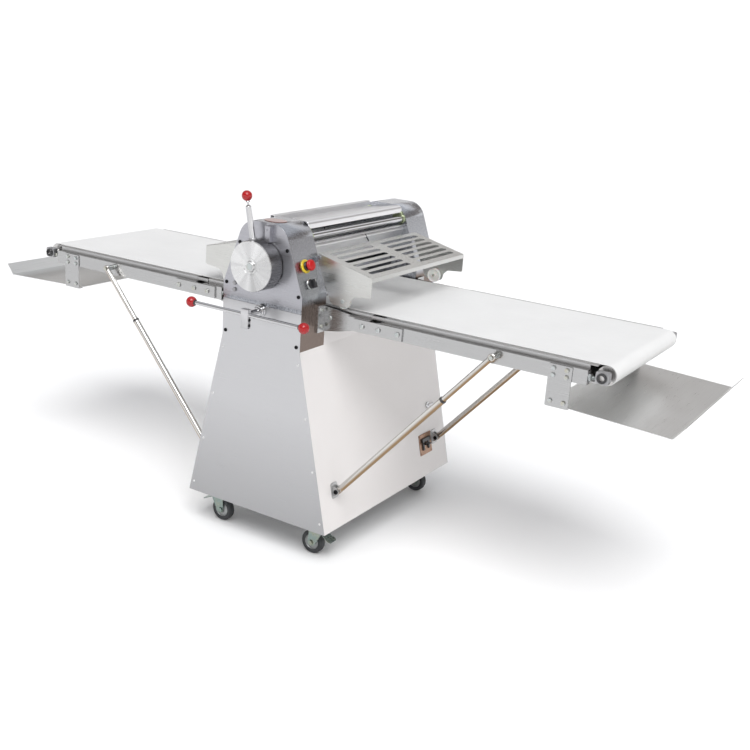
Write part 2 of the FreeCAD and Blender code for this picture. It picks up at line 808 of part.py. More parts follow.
def make_hood():
    """The tray-topped cover between the housings."""
    rear = "head_top_half - hood_rear_rail"
    floor = "head_top - hood_depth"
    skirt = "head_top - hood_skirt"
    outline = [
        ("head_top_half - hood_nose", "head_top"), ("head_top_half - hood_nose / 2", "head_top - 3"),
        ("head_top_half - 2 * hood_wall", "head_top - 10"), ("head_top_half - hood_wall", skirt),
        ("head_top_half - 2 * hood_wall", skirt),
        ("head_top_half - 3 * hood_wall", "head_top - 10 - hood_wall"),
        ("head_top_half - hood_nose", "head_top - hood_wall - 1"),
        (f"hood_wall - ({rear})", f"{floor} - hood_wall"), (f"-({rear} + hood_wall)", f"{floor} - hood_wall"),
        (f"-({rear} + hood_wall)", "head_top - hood_wall"),
        ("hood_wall - head_top_half", "head_top - hood_wall"), ("hood_wall - head_top_half", skirt),
        ("-head_top_half", skirt), ("-head_top_half", "head_top"),
        (f"-({rear})", "head_top"), (f"-({rear})", floor),
    ]
    node("roller_hood", profile("roller_hood", outline, ("-roller_span_half", "roller_span_half")))


def make_scraper_bars():
    span = ("-roller_span_half", "roller_span_half")
    bar = rod("tie_bar", "y", ("head_top_half - tie_bar_inset", "head_top - tie_bar_drop"),
              "tie_bar_radius", span)
    thin = rod("scraper_rod", "y", ("head_top_half + scraper_rod_offset", "head_top - scraper_rod_drop"),
               "scraper_rod_radius", span)
    top, foot = "head_top - blade_drop", "head_top - blade_drop - blade_fall"
    blade = profile("scraper_blade", [
        ("head_top_half + blade_offset", top), ("head_top_half + blade_offset + blade_wall", top),
        ("roller_radius + blade_clearance + blade_wall", foot), ("roller_radius + blade_clearance",
                                                                 foot)], span)
    side = group("scraper_side", [bar, thin, blade])
    node("scraper_bars", both("scraper_bars", side, "x"))


def make_rollers():
    reach = "bed_half - roller_end_gap"
    height = "lower_roller_height"
    body = rod("lower_body", "y", ("0", height), "roller_radius", (f"-({reach})", reach))
    shaft = rod("lower_shaft", "y", ("0", height), "shaft_radius",
                ("-shaft_inner - shaft_stub", "pulley_y + pulley_width"))
    pulley = grooved_pulley("roller_pulley_wheel", height, "roller_pulley")
    node("lower_roller", fuse("lower_roller", [body, shaft, pulley]))

    height = "upper_roller_height"
    body = rod("upper_body", "y", ("0", height), "roller_radius", (f"-({reach})", reach))
    shaft = rod("upper_shaft", "y", ("0", height), "shaft_radius",
                ("-shaft_inner - carriage_depth - shaft_end_gap",
                 "shaft_inner + carriage_depth + shaft_end_gap"))
    node("upper_roller", fuse("upper_roller", [body, shaft]))

    block = box("carriage_block", ("-carriage_half", "carriage_half"),
                ("-shaft_inner - carriage_depth", "-shaft_inner"),
                (f"{height} - carriage_half", f"{height} + carriage_half"))
    bore = rod("carriage_bore", "y", ("0", height), "shaft_radius + running_gap",
               ("-shaft_inner - carriage_depth - overrun", "overrun - shaft_inner"))
    near = cut("carriage_near", block, [bore])
    node("roller_carriage", both("roller_carriage", near, "y"))

    body = rod("drive_body", "y", ("drive_roller_x", "end_roller_height"), "end_roller_radius",
               ("-belt_half_width - drum_overlap", "belt_half_width + drum_overlap"))
    axle = rod("drive_axle", "y", ("drive_roller_x", "end_roller_height"), "axle_radius",
               ("-shaft_inner - drive_stub", "shaft_inner + drive_stub"))
    right = node("drive_roller_right", fuse("drive_roller_right", [body, axle]))
    node("drive_roller_left", mirror("drive_roller_left", right, "x"))


def grooved_pulley(label, height, radius):
    span = ("pulley_y - pulley_width / 2", "pulley_y + pulley_width / 2")
    groove = ("pulley_y - vee_width / 2 - part_gap", "pulley_y + vee_width / 2 + part_gap")
    rim = rod(label + "_rim", "y", ("0", height), f"{radius} + vee_height / 2", span)
    ring = rod(label + "_ring", "y", ("0", height), f"{radius} + vee_height", groove)
    core = rod(label + "_core", "y", ("0", height), f"{radius} - vee_height / 2", groove)
    return cut(label, rim, [cut(label + "_groove", ring, [core])])


def make_drive():
    height = "motor_height"
    back = "(pulley_y - pulley_width / 2 - motor_flange)"
    shoulder = f"({back} - motor_nose_length - motor_flange)"
    deck = "(base_bottom + floor_sheet)"
    can = rod("motor_can", "y", ("0", height), "motor_radius", ("motor_cowl_length", shoulder))
    nose = rod("motor_nose", "y", ("0", height), "motor_radius * 0.7", (shoulder, f"{back} - motor_flange"))
    cowl = rod("motor_cowl", "y", ("0", height), "motor_radius - motor_cowl_step",
               ("-motor_cowl_length", "motor_cowl_length"))
    foot = box("motor_foot", ("-motor_radius", "motor_radius"),
               ("motor_foot_start", f"{back} - motor_foot_start"),
               (deck, f"{deck} + motor_foot_wall"))
    web_span = ("motor_foot_start + motor_web_inset", f"{back} - motor_foot_start - motor_web_inset")
    web = box("motor_web", ("-motor_radius * 0.6", "motor_radius * 0.6"), web_span,
              (f"{deck} + motor_foot_wall", f"{height} - motor_radius / 2"))
    terminal = box("motor_terminals", ("motor_radius * 0.85", "motor_radius + terminal_reach"),
                   ("terminal_start", "terminal_start + terminal_length"),
                   (f"{height} - terminal_half_height", f"{height} + terminal_half_height"))
    body = fuse("motor_body", [can, nose, cowl, foot, web, terminal])
    bore = rod("motor_bore", "y", ("0", height), "motor_shaft_radius + running_gap",
               (f"{back} - motor_shaft_depth - running_gap - 2 * overrun", back))
    node("drive_motor", cut("drive_motor", body, [bore]))

    wheel = grooved_pulley("motor_pulley_wheel", height, "motor_pulley")
    shaft = rod("motor_shaft", "y", ("0", height), "motor_shaft_radius",
                (f"{back} - motor_shaft_depth", "pulley_y + pulley_width / 2 + shaft_nose"))
    node("motor_pulley", fuse("motor_pulley", [wheel, shaft]))

    span = ("pulley_y - vee_width / 2", "pulley_y + vee_width / 2")
    loops = []
    for name, extra in (("vee_outer", "vee_height / 2"), ("vee_inner", "-vee_base")):
        small = f"(motor_pulley + ({extra}))"
        large = f"(roller_pulley + ({extra}))"
        runs = profile(name + "_runs", [
            (f"-{small} * vee_cos", f"motor_height - {small} * vee_sin"),
            (f"{small} * vee_cos", f"motor_height - {small} * vee_sin"),
            (f"{large} * vee_cos", f"lower_roller_height - {large} * vee_sin"),
            (f"-{large} * vee_cos", f"lower_roller_height - {large} * vee_sin")], span)
        low = rod(name + "_low", "y", ("0", "motor_height"), small, span)
        high = rod(name + "_high", "y", ("0", "lower_roller_height"), large, span)
        loops.append(fuse(name, [runs, low, high]))
    node("vee_belt", cut("vee_belt", loops[0], [loops[1]]))


# ---------------------------------------------------------------- gap handle and levers
def make_gap_handle():
    drum = rod("dial_drum", "y", ("0", "dial_height"), "dial_radius", ("-dial_front", "-dial_back"))
    hub = rod("dial_hub", "y", ("0", "dial_height"), "hub_radius",
              ("-dial_front - hub_height", "-dial_front"))
    shaft = rod("dial_axle", "y", ("0", "dial_height"), "dial_shaft",
                ("-dial_back", "dial_shaft_depth - shell_front"))
    cam = rod("dial_cam", "y", ("cam_offset", "dial_height"), "cam_radius",
              ("cam_setback - shell_front", "cam_setback + cam_width - shell_front"))
    solid = fuse("dial_solid", [drum, hub, shaft, cam])
    socket = tilted("lever_socket", "lever_radius", "dial_radius * socket_share - overrun",
                    "dial_radius + socket_clearance")
    node("gap_dial", cut("gap_dial", solid, [socket]))

    tube = tilted("lever_tube", "lever_radius", "dial_radius * socket_share",
                  "lever_length + dial_radius * 0.2")
    bore = tilted("lever_bore", "lever_pin + running_gap", "dial_radius * 0.7", "lever_length + dial_radius")
    node("gap_lever", cut("gap_lever", tube, [bore]))

    pin = tilted("knob_pin", "lever_pin", "dial_radius * 0.8", "knob_distance - knob_radius / 2")
    knob = ball("knob_ball", ("knob_x", "-lever_y", "knob_height"), "knob_radius", (0, -1, 0), "lever_lean")
    node("gap_knob", fuse("gap_knob", [pin, knob]))


def tilted(label, radius, start, end):
    """A cylinder along the gap lever, from one distance to another from the dial's axis."""
    item = doc.addObject("Part::Cylinder", label)
    item.Placement = Placement(Vector(), Rotation(Vector(0, -1, 0), 10))
    bind(item, "Placement.Base.x", f"-({start}) * sin(lever_lean)")
    bind(item, "Placement.Base.y", "-lever_y")
    bind(item, "Placement.Base.z", f"dial_height + ({start}) * cos(lever_lean)")
    bind(item, "Placement.Rotation.Angle", "lever_lean")
    bind(item, "Height", f"({end}) - ({start})")
    bind(item, "Radius", radius)
    return item


def make_reversing_lever():
    block = box("clamp_block", ("-clamp_half_width", "clamp_half_width"),
                ("-reverse_y - clamp_depth / 2", "clamp_depth / 2 - reverse_y"), ("clamp_bottom",
                                                                                  "clamp_top"))
    reach = "(reverse_reach - reverse_knob / 2)"
    bar = rod("reverse_bar", "x", ("-reverse_y", "reverse_height"), "reverse_rod", (f"-{reach}", reach))
    shaft = rod("reverse_shaft", "y", ("0", "reverse_height"), "axle_radius",
                ("-reverse_y", "reverse_shaft_depth - frame_half_depth"))
    boss = rod("reverse_boss", "y", ("0", "reverse_height"), "reverse_boss_radius",
               ("-body_half_depth - reverse_boss_height", "-body_half_depth - part_gap"))
    knob = ball("reverse_knob", ("reverse_reach", "-reverse_y", "reverse_height"), "reverse_knob",
                (0, 1, 0), "90")
    knob = cut("reverse_knob_seat", knob, [bar])
    lever = fuse("reverse_arm", [block, bar, shaft, boss])
    ends = both("reverse_knobs", knob, "x")
    node("reversing_lever", group("reversing_lever", [lever, ends]))


# ---------------------------------------------------------------- controls
def make_controls():
    centre = ("0", "0")
    face = (head_x("stop_height"), "-stop_side", "stop_height", "slope")
    ring = rod("stop_ring_outer", "z", centre, "stop_ring_radius", ("0", "stop_ring_wall"))
    collar = rod("stop_ring_collar", "z", centre, "stop_collar_radius", ("0", "stop_collar_height"))
    bore = rod("stop_ring_bore", "z", centre, "stop_stem_radius + running_gap",
               ("stop_ring_wall - overrun", "stop_collar_height + overrun"))
    ring = cut("stop_ring_cut", fuse("stop_ring", [ring, collar]), [bore])
    node("estop_ring", lean_out(group("estop_ring", [ring]), *face))
    stem = rod("stop_stem", "z", centre, "stop_stem_radius",
               ("stop_stem_foot", "stop_cap_foot + stop_ring_wall"))
    cap = rod("stop_cap", "z", centre, "stop_cap_radius",
              ("stop_cap_foot", "stop_cap_foot + stop_cap_height"))
    node("estop_button", lean_out(fuse("estop_button", [stem, cap]), *face))

    face = (head_x("selector_height"), "-selector_side", "selector_height", "slope")
    base = rod("selector_base", "z", centre, "selector_radius", ("part_gap", "selector_base_height"))
    grip = box("selector_grip", ("-selector_grip_half", "selector_grip_half"),
               ("-selector_grip_wall", "selector_grip_wall"), ("selector_base_height",
                                                               "selector_grip_height"))
    node("selector_knob", lean_out(fuse("selector_knob", [base, grip]), *face))

    face = (panel_x("lock_height"), "lock_side", "lock_height", "lean")
    disc = rod("lock_disc", "z", centre, "lock_radius", ("part_gap", "lock_height_out"))
    key = box("lock_key", ("-lock_key_half", "lock_key_half"), ("0", "lock_key_length"),
              ("lock_height_out", "lock_key_height"))
    node("cam_lock", lean_out(fuse("cam_lock", [disc, key]), *face))

    face = (panel_x("breaker_height"), "breaker_side", "breaker_height", "lean")
    plate = box("breaker_plate", ("-breaker_half_height", "breaker_half_height"),
                ("-breaker_half_width", "breaker_half_width"), ("0", "breaker_wall"))
    body = box("breaker_body", ("-breaker_body_half", "breaker_body_half"),
               ("-breaker_body_width", "breaker_body_width"), ("breaker_wall", "breaker_body_depth"))
    slot = rod("breaker_slot", "y", ("0", "toggle_offset"), "toggle_radius + part_gap",
               ("-toggle_half_length - part_gap", "toggle_half_length + part_gap"))
    plate = cut("switch_solid", fuse("switch_blank", [plate, body]), [slot])
    node("switch_plate", lean_out(group("switch_plate", [plate]), *face))
    drum = rod("toggle_drum", "y", ("0", "toggle_offset"), "toggle_radius",
               ("-toggle_half_length", "toggle_half_length"))
    lever = box("toggle_lever", ("-toggle_lever_wall", "toggle_lever_wall"),
                ("-toggle_lever_half", "toggle_lever_half"), ("toggle_offset", "toggle_reach"))
    node("breaker_toggle", lean_out(fuse("breaker_toggle", [drum, lever]), *face))


# ---------------------------------------------------------------- tables
def channel(label, start, end, face):
    """One rail: a C-section opening inwards, on the near side."""
    outer = box(label + "_outer", (start, end), (f"-({face})", f"rail_flange - ({face})"),
                ("rail_bottom", "rail_top"))
    inner = box(label + "_inner", (f"{start} - overrun", f"{end} + overrun"),
                (f"rail_wall - ({face})", f"rail_flange + overrun - ({face})"),
                ("rail_bottom + rail_wall", "rail_top - rail_wall"))
    return cut(label, outer, [inner])


def screw_heads(label, places, radius, face):
    """Screw heads on a near face: places are (x, height) pairs."""
    return [rod(label, "y", place, radius, (f"-({face}) - head_height", f"-({face})")) for place in places]


def make_table_brackets():
    """Brackets on the head that carry the fixed inner part of each table."""
    setback = "-roller_span_half - bracket_setback"
    flange = box("bracket_flange", ("kink_half_width", "kink_half_width + bracket_wall"),
                 (f"{setback} - flange_depth", setback), ("bracket_low", "shoulder_height - flange_drop"))
    web = profile("bracket_web", [
        ("kink_half_width", "bracket_low"),
        ("kink_half_width + bracket_knee_x", "bracket_low + bracket_knee_rise"),
        ("link_start", "rail_bottom"), ("link_start", "rail_top"),
        ("kink_half_width", "shoulder_height - bracket_top_drop")],
        (f"{setback} - bracket_wall", setback))
    rail = channel("stub_rail", "link_start - stub_overlap", "stub_end_x", "link_face")
    plate = box("link_plate", ("link_start", "link_end"), ("-link_face - link_thickness", "-link_face"),
                ("fold_height - link_height / 2", "fold_height + link_height / 2"))
    pin = rod("fold_pin", "y", ("fold_x", "fold_height"), "hinge_pin",
              ("-link_face", "rail_wall + pin_tail - table_half_depth"))
    places = [(x, "fold_height") for x in ("link_start + link_screw_first", "fold_x",
                                           "link_end - link_screw_last")]
    heads = screw_heads("link_screw", places, "link_screw_radius", "link_face + link_thickness")
    first = "kink_half_width + bracket_screw_first"
    places = [(x, "bracket_screw_height") for x in (first, f"{first} + bracket_screw_pitch")]
    heads += screw_heads("bracket_screw", places, "bracket_screw_radius", f"-({setback}) + bracket_wall")
    bracket = fuse("table_bracket", [flange, web, rail, plate, pin] + heads)
    bed = box("inner_bed_sheet", ("drive_roller_x + band_radius + bed_gap", "inner_belt_end"),
              ("-bed_half", "bed_half"), ("bed_top - bed_thickness", "bed_top"))
    edge = box("inner_bed_edge", ("kink_half_width", "inner_belt_end"),
               ("-bed_half", "bed_thickness - bed_half"), ("rail_top", "bed_top - bed_thickness"))
    bed = fuse("inner_bed", [bed, edge, mirror("inner_bed_far_edge", edge, "y")])
    side = group("table_bracket_side", [bracket, mirror("table_bracket_far", bracket, "y"), bed])
    node("table_brackets", both("table_brackets", side, "x"))


def belt_loop(label, roller_x, low, high):
    """A belt's two runs and its turn round one roller."""
    solids = []
    for name, radius, extra in (("outer", "band_radius", 0), ("inner", "(band_radius - belt_thickness)", 2)):
        width = (f"-belt_half_width - {extra}", f"belt_half_width + {extra}")
        start = f"{low} - {extra}" if low != roller_x else low
        end = f"{high} + {extra}" if high != roller_x else high
        turn = rod(f"{label}_{name}_turn", "y", (roller_x, "end_roller_height"), radius, width)
        runs = box(f"{label}_{name}_runs", (start, end), width,
                   (f"end_roller_height - {radius}", f"end_roller_height + {radius}"))
        solids.append(fuse(f"{label}_{name}", [turn, runs]))
    return cut(label, solids[0], [solids[1]])


def make_belts():
    inner = belt_loop("inner_belt", "drive_roller_x", "drive_roller_x", "inner_belt_end")
    node("inner_belts", both("inner_belts", inner, "x"))
    right = node("belt_right", belt_loop("belt_right", "end_roller_x", "table_belt_start", "end_roller_x"))
    node("belt_left", mirror("belt_left", right, "x"))


def make_tables():
    round_end = rod("rail_end", "y", ("fold_x", "fold_height"), "rail_height / 2",
                    ("-table_half_depth", "rail_wall - table_half_depth"))
    rail = channel("table_rail", "fold_x", "rail_end_x", "table_half_depth")
    bore = rod("fold_bore", "y", ("fold_x", "fold_height"), "hinge_pin + running_gap",
               ("-table_half_depth - overrun", "rail_wall + overrun - table_half_depth"))
    near = cut("near_rail", fuse("near_rail_solid", [rail, round_end]), [bore])
    inside = "table_half_depth - rail_wall"
    braces = [box("brace", (x, f"{x} + brace_width"), (f"-({inside})", inside),
                  ("fold_height - brace_drop", "fold_height - brace_drop + brace_height"))
              for x in ("fold_x + brace_first", "(fold_x + rail_end_x) / 2",
                        "rail_end_x - brace_width - brace_last")]
    frame = fuse("table_frame_right", [near, mirror("far_rail", near, "y")] + braces)
    right = node("table_frame_right", frame)
    node("table_frame_left", mirror("table_frame_left", right, "x"))

    half = "roller_span_half + bed_overhang"
    top = box("bed_sheet", ("table_belt_start", "end_roller_x - bed_roller_lap"),
              (f"-({half})", half), ("bed_top - bed_thickness", "bed_top"))
    edge = box("bed_edge", ("table_belt_start", "end_roller_x - 2 * bed_roller_lap"),
               (f"-({half})", f"bed_thickness - ({half})"), ("rail_top", "bed_top - bed_thickness"))
    right = node("bed_right", fuse("bed_right", [top, edge, mirror("bed_far_edge", edge, "y")]))
    node("bed_left", mirror("bed_left", right, "x"))

    body = rod("end_roller_body", "y", ("end_roller_x", "end_roller_height"), "end_roller_radius",
               ("-belt_half_width - drum_overlap + 1", "belt_half_width + drum_overlap - 1"))
    axle = rod("end_axle", "y", ("end_roller_x", "end_roller_height"), "axle_radius",
               ("-table_half_depth + axle_setback", "table_half_depth - axle_setback"))
    right = node("end_roller_right", fuse("end_roller_right", [body, axle]))
    node("end_roller_left", mirror("end_roller_left", right, "x"))


def make_end_fittings():
    """Belt tensioners: an axle block on a threaded rod at the end of each rail."""
    face = "table_half_depth"
    middle = f"({face} - rail_wall - tension_inset)"
    block = box("axle_block", ("end_roller_x - axle_block_half", "end_roller_x + axle_block_half"),
                (f"-({face})", f"axle_block_depth - ({face})"),
                ("end_roller_height - axle_block_rise", "end_roller_height + axle_block_rise"))
    bore = rod("axle_bore", "y", ("end_roller_x", "end_roller_height"), "axle_radius + running_gap",
               (f"-({face}) - overrun", f"axle_block_depth + overrun - ({face})"))
    block = cut("axle_block_bored", block, [bore])
    screw = rod("tension_rod", "x", (f"-{middle}", "fold_height"), "tension_radius",
                ("rail_end_x - tension_depth", "end_roller_x - axle_block_half"))
    nut = rod("tension_nut", "x", (f"-{middle}", "fold_height"), "nut_radius",
              ("rail_end_x", "rail_end_x + nut_height"))
    stop = box("rail_end_plate", ("rail_end_x - end_plate_wall", "rail_end_x"),
               (f"rail_wall - ({face})", f"rail_flange - ({face})"),
               ("rail_bottom + rail_wall", "rail_top - rail_wall"))
    fitting = fuse("end_fitting", [block, screw, nut, stop])
    right = node("end_fittings_right", both("end_fittings_right", fitting, "y"))
    node("end_fittings_left", mirror("end_fittings_left", right, "x"))


def make_trays():
    """Catch tray under each table end, on two hanger plates."""
    plate = box("hanger_plate", ("hanger_start", "hanger_end"), ("-hanger_face - rail_wall", "-hanger_face"),
                ("hanger_bottom", "rail_top - hanger_lap"))
    foot = box("hanger_foot", ("hanger_start", "hanger_end"),
               ("-hanger_face", "hanger_foot_depth - hanger_face"),
               ("hanger_bottom", "tray_start_height"))
    heights = ("rail_top - hanger_screw_top", "rail_bottom + hanger_screw_mid",
               "hanger_bottom + hanger_screw_low")
    places = [(x, z) for x in ("hanger_start + hanger_screw_inset",
                               "hanger_end - hanger_screw_inset") for z in heights]
    heads = screw_heads("hanger_screw", places, "hanger_screw_radius", "hanger_face + rail_wall")
    hanger = fuse("tray_hanger", [plate, foot] + heads)
    width = ("part_gap - hanger_face", "hanger_face - part_gap")
    drop = "(tray_start_height - tray_end_height)"
    sheet_plate = profile("tray_sheet_plate", [
        ("hanger_start", "tray_start_height"), ("hanger_end", "tray_start_height"),
        ("tray_end", f"tray_start_height - {drop}"), ("tray_lip_x", "tray_lip_height"),
        ("tray_lip_x - tray_sheet", "tray_lip_height"),
        ("tray_end - tray_sheet", f"tray_start_height - {drop} + tray_sheet"),
        ("hanger_end", "tray_start_height + tray_sheet"),
        ("hanger_start", "tray_start_height + tray_sheet")], width)
    right = node("tray_right", group("tray_right",
                                     [hanger, mirror("tray_far_hanger", hanger, "y"), sheet_plate]))
    node("tray_left", mirror("tray_left", right, "x"))


def strut_piece(label, radius, start, end):
    """A cylinder along the strut, from one distance to another from its foot pivot."""
    item = doc.addObject("Part::Cylinder", label)
    item.Placement = Placement(Vector(), Rotation(Vector(0, 1, 0), 40))
    bind(item, "Placement.Base.x", f"strut_foot_x + ({start}) * strut_cos")
    bind(item, "Placement.Base.y", "-strut_side")
    bind(item, "Placement.Base.z", f"strut_foot_height + ({start}) * strut_sin")
    bind(item, "Placement.Rotation.Angle", "atan2(strut_run; strut_rise)")
    bind(item, "Height", f"({end}) - ({start})")
    bind(item, "Radius", radius)
    return item


def make_struts():
    width = ("-strut_side - strut_eye_width / 2", "strut_eye_width / 2 - strut_side")
    foot = ("strut_foot_x", "strut_foot_height")
    eye = rod("tube_eye", "y", foot, "strut_eye", width)
    tube = strut_piece("strut_tube", "tube_radius", "strut_eye * 0.6", "tube_length")
    pin_hole = rod("tube_eye_bore", "y", foot, "strut_pin + running_gap",
                   ("-strut_side - tube_radius - flat_clearance",
                    "tube_radius + flat_clearance - strut_side"))
    flats = [box("tube_flat", ("strut_foot_x - eye_clear_in", "strut_foot_x + eye_clear_out"), flat,
                 ("strut_foot_height - eye_clear_low", "strut_foot_height + eye_clear_out"))
             for flat in (("-strut_side - tube_radius - overrun", width[0]),
                          (width[1], "tube_radius + overrun - strut_side"))]
    bore = strut_piece("tube_bore", "rod_radius + running_gap", "strut_eye * 2",
                       "tube_length + overrun")
    near = cut("strut_tube_near", fuse("strut_tube_solid", [eye, tube]), [pin_hole, bore] + flats)
    right = node("strut_tubes_right", both("strut_tubes_right", near, "y"))
    node("strut_tubes_left", mirror("strut_tubes_left", right, "x"))

    head = ("strut_head_x", "strut_head_height")
    shaft = strut_piece("strut_rod", "rod_radius", "strut_length - rod_length",
                        "strut_length - strut_eye * 0.5")
    eye = rod("rod_eye", "y", head, "strut_eye + 1",
              ("-strut_side - rod_eye_half", "rod_eye_half - strut_side"))
    boss = rod("rod_boss", "y", head, "rod_boss_radius",
               ("rod_eye_half - strut_side", "-table_half_depth - part_gap"))
    bolt = rod("rod_bolt", "y", head, "rod_bolt_radius",
               ("-strut_side - rod_eye_half - rod_bolt_height", "-strut_side - rod_eye_half"))
    near = fuse("strut_rod_near", [shaft, eye, boss, bolt])
    right = node("strut_rods_right", both("strut_rods_right", near, "y"))
    node("strut_rods_left", mirror("strut_rods_left", right, "x"))


# ---------------------------------------------------------------- guards
def make_guards():
    sheet_wall = "guard_sheet"
    half = "guard_half_depth"
    top = profile("guard_top", [
        ("guard_pivot_x", f"guard_top_height - {sheet_wall}"), ("guard_outer_x",
                                                                f"guard_outer_height - {sheet_wall}"),
        ("guard_outer_x", "guard_outer_height"), ("guard_pivot_x", "guard_top_height")],
        (f"-{half}", half))
    lip = profile("guard_lip", [
        ("guard_outer_x - guard_sheet", "guard_outer_height - guard_lip_drop"),
        ("guard_outer_x", "guard_outer_height - guard_lip_drop"),
        ("guard_outer_x", "guard_outer_height"), ("guard_outer_x - guard_sheet", "guard_outer_height")],
        (f"-{half}", half))
    wall = profile("guard_wall", [
        ("guard_pivot_x - wall_rim", "guard_top_height"), ("guard_pivot_x", "guard_top_height"),
        ("guard_outer_x", "guard_outer_height"), ("guard_outer_x", "guard_skirt"),
        ("disc_x + lobe_outer_high", "guard_skirt - lobe_notch"),
        ("disc_x + lobe_outer_mid", "disc_height + lobe_rise"),
        ("disc_x + lobe_outer_low", "guard_lobe"), ("disc_x - lobe_inner", "guard_lobe"),
        ("kink_half_width + guard_wall_clearance", "shoulder_height"),
        ("guard_pivot_x - wall_rim", "guard_pivot_height - wall_low_drop")],
        (f"-{half}", f"guard_sheet - {half}"))
    pin_hole = rod("guard_bore", "y", ("guard_pivot_x", "guard_pivot_height"),
                   "hinge_pin_radius + running_gap",
                   (f"-{half} - overrun", f"guard_sheet + overrun - {half}"))
    wall = cut("guard_wall_bored", wall, [pin_hole])
    centre = ("disc_x", "disc_height")
    axle = rod("disc_axle", "y", centre, "disc_axle_radius",
               (f"guard_sheet - {half}", f"guard_sheet + 2 * disc_side_gap + disc_width - {half}"))
    head = rod("disc_screw", "y", centre, "disc_screw_radius", (f"-{half} - head_height", f"-{half}"))
    near = fuse("guard_near", [wall, axle, head])
    tools = []
    for index in range(SIZES["guard_slots"]):
        middle = f"slot_first_x + {index} * slot_pitch"
        tools.append(slot_tool(f"slot_{index}", middle))
    near_slots = fuse("guard_slot_tools", tools)
    top = cut("guard_top_slotted", top, [near_slots, mirror("guard_slot_far", near_slots, "y")])
    right = node("guard_right", fuse("guard_right", [top, lip, near, mirror("guard_far", near, "y")]))
    node("guard_left", mirror("guard_left", right, "x"))

    disc = rod("guard_disc", "y", centre, "disc_radius",
               (f"guard_sheet + disc_side_gap - {half}",
                f"guard_sheet + disc_side_gap + disc_width - {half}"))
    bore = rod("guard_disc_bore", "y", centre, "disc_axle_radius + running_gap",
               (f"-{half}", f"guard_sheet + 3 * disc_side_gap + disc_width - {half}"))
    near = cut("guard_disc_near", disc, [bore])
    right = node("guard_discs_right", both("guard_discs_right", near, "y"))
    node("guard_discs_left", mirror("guard_discs_left", right, "x"))


def slot_tool(label, middle):
    height = ("guard_outer_height - slot_depth", "guard_top_height + slot_height")
    near = ("-slot_outer_y + slot_width / 2", "-slot_inner_y - slot_width / 2")
    long = box(label + "_long", (f"{middle} - slot_width / 2", f"{middle} + slot_width / 2"), near, height)
    ends = [rod(label + "_end", "z", (middle, end), "slot_width / 2", height) for end in near]
    return fuse(label, [long] + ends)


# ---------------------------------------------------------------- casters
def make_casters():
    top = ("caster_top - crown_height - part_gap", "caster_top - part_gap")
    axle_x = "caster_x - caster_trail"
    outer = "wheel_width / 2 + fork_side_gap + fork_wall"
    crown = rod("fork_crown", "z", ("caster_x", "caster_y"), "crown_radius", top)
    hole = rod("fork_bore", "z", ("caster_x", "caster_y"), "kingpin + running_gap",
               ("caster_top - fork_bore_depth", "caster_top + overrun"))
    bridge = box("fork_bridge", ("caster_x - fork_inner", "caster_x + fork_outer"),
                 (f"caster_y - ({outer})", f"caster_y + {outer}"), ("caster_top - fork_deck", top[0]))
    arms = []
    for start in (f"caster_y - ({outer})", "caster_y + wheel_width / 2 + fork_side_gap"):
        arms.append(profile("fork_arm", [
            (f"{axle_x} - fork_nose_half", "wheel_radius - fork_nose_drop"),
            (f"{axle_x} + fork_nose_half", "wheel_radius - fork_nose_drop"),
            ("caster_x + fork_outer", "caster_top - fork_deck"),
            ("caster_x - fork_inner", "caster_top - fork_deck")], (start, f"{start} + fork_wall")))
    axle = rod("fork_axle", "y", (axle_x, "wheel_radius"), "wheel_axle",
               (f"caster_y - ({outer}) - wheel_axle_reach", f"caster_y + {outer} + wheel_axle_reach"))
    fork = cut("caster_fork", fuse("fork_solid", [crown, bridge, axle] + arms), [hole])
    wheel = rod("wheel_tyre", "y", (axle_x, "wheel_radius"), "wheel_radius",
                ("caster_y - wheel_width / 2", "caster_y + wheel_width / 2"))
    bore = rod("wheel_bore", "y", (axle_x, "wheel_radius"), "wheel_axle + running_gap",
               ("caster_y - wheel_width", "caster_y + wheel_width"))
    wheel = cut("caster_wheel", wheel, [bore])
    for name, piece in (("fork", fork), ("wheel", wheel)):
        left = mirror(f"{name}_left", piece, "x")
        node(f"caster_{name}_rear_right", piece)
        node(f"caster_{name}_rear_left", left)
        node(f"caster_{name}_front_right", mirror(f"{name}_front_right", piece, "y"))
        node(f"caster_{name}_front_left", mirror(f"{name}_front_left", left, "y"))


make_base_frame()
make_panels()
make_fasteners()
make_strut_lugs()
make_housings()
make_hood()
make_scraper_bars()
make_rollers()
make_drive()
make_gap_handle()
make_reversing_lever()
make_controls()
make_table_brackets()
make_belts()
make_tables()
make_end_fittings()
make_trays()
make_struts()
make_guards()
make_casters()
doc.recompute()

for item in doc.Objects:
    if "Invalid" in item.State or "Error" in item.State:
        raise RuntimeError(f"{item.Label} did not recompute")
for item in NODES:
    if item.Shape.isNull() or not item.Shape.isValid():
        raise RuntimeError(f"{item.Label} has no valid shape")
for item in NODES:
    item.Shape.exportStep(f"parts/{item.Label}.step")
print(len(NODES), "sub-parts")
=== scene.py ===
"""A dough sheeter dressed for a studio picture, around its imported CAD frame. Metres throughout."""
import json
import math

import bmesh
import bpy
from mathutils import Matrix, Vector


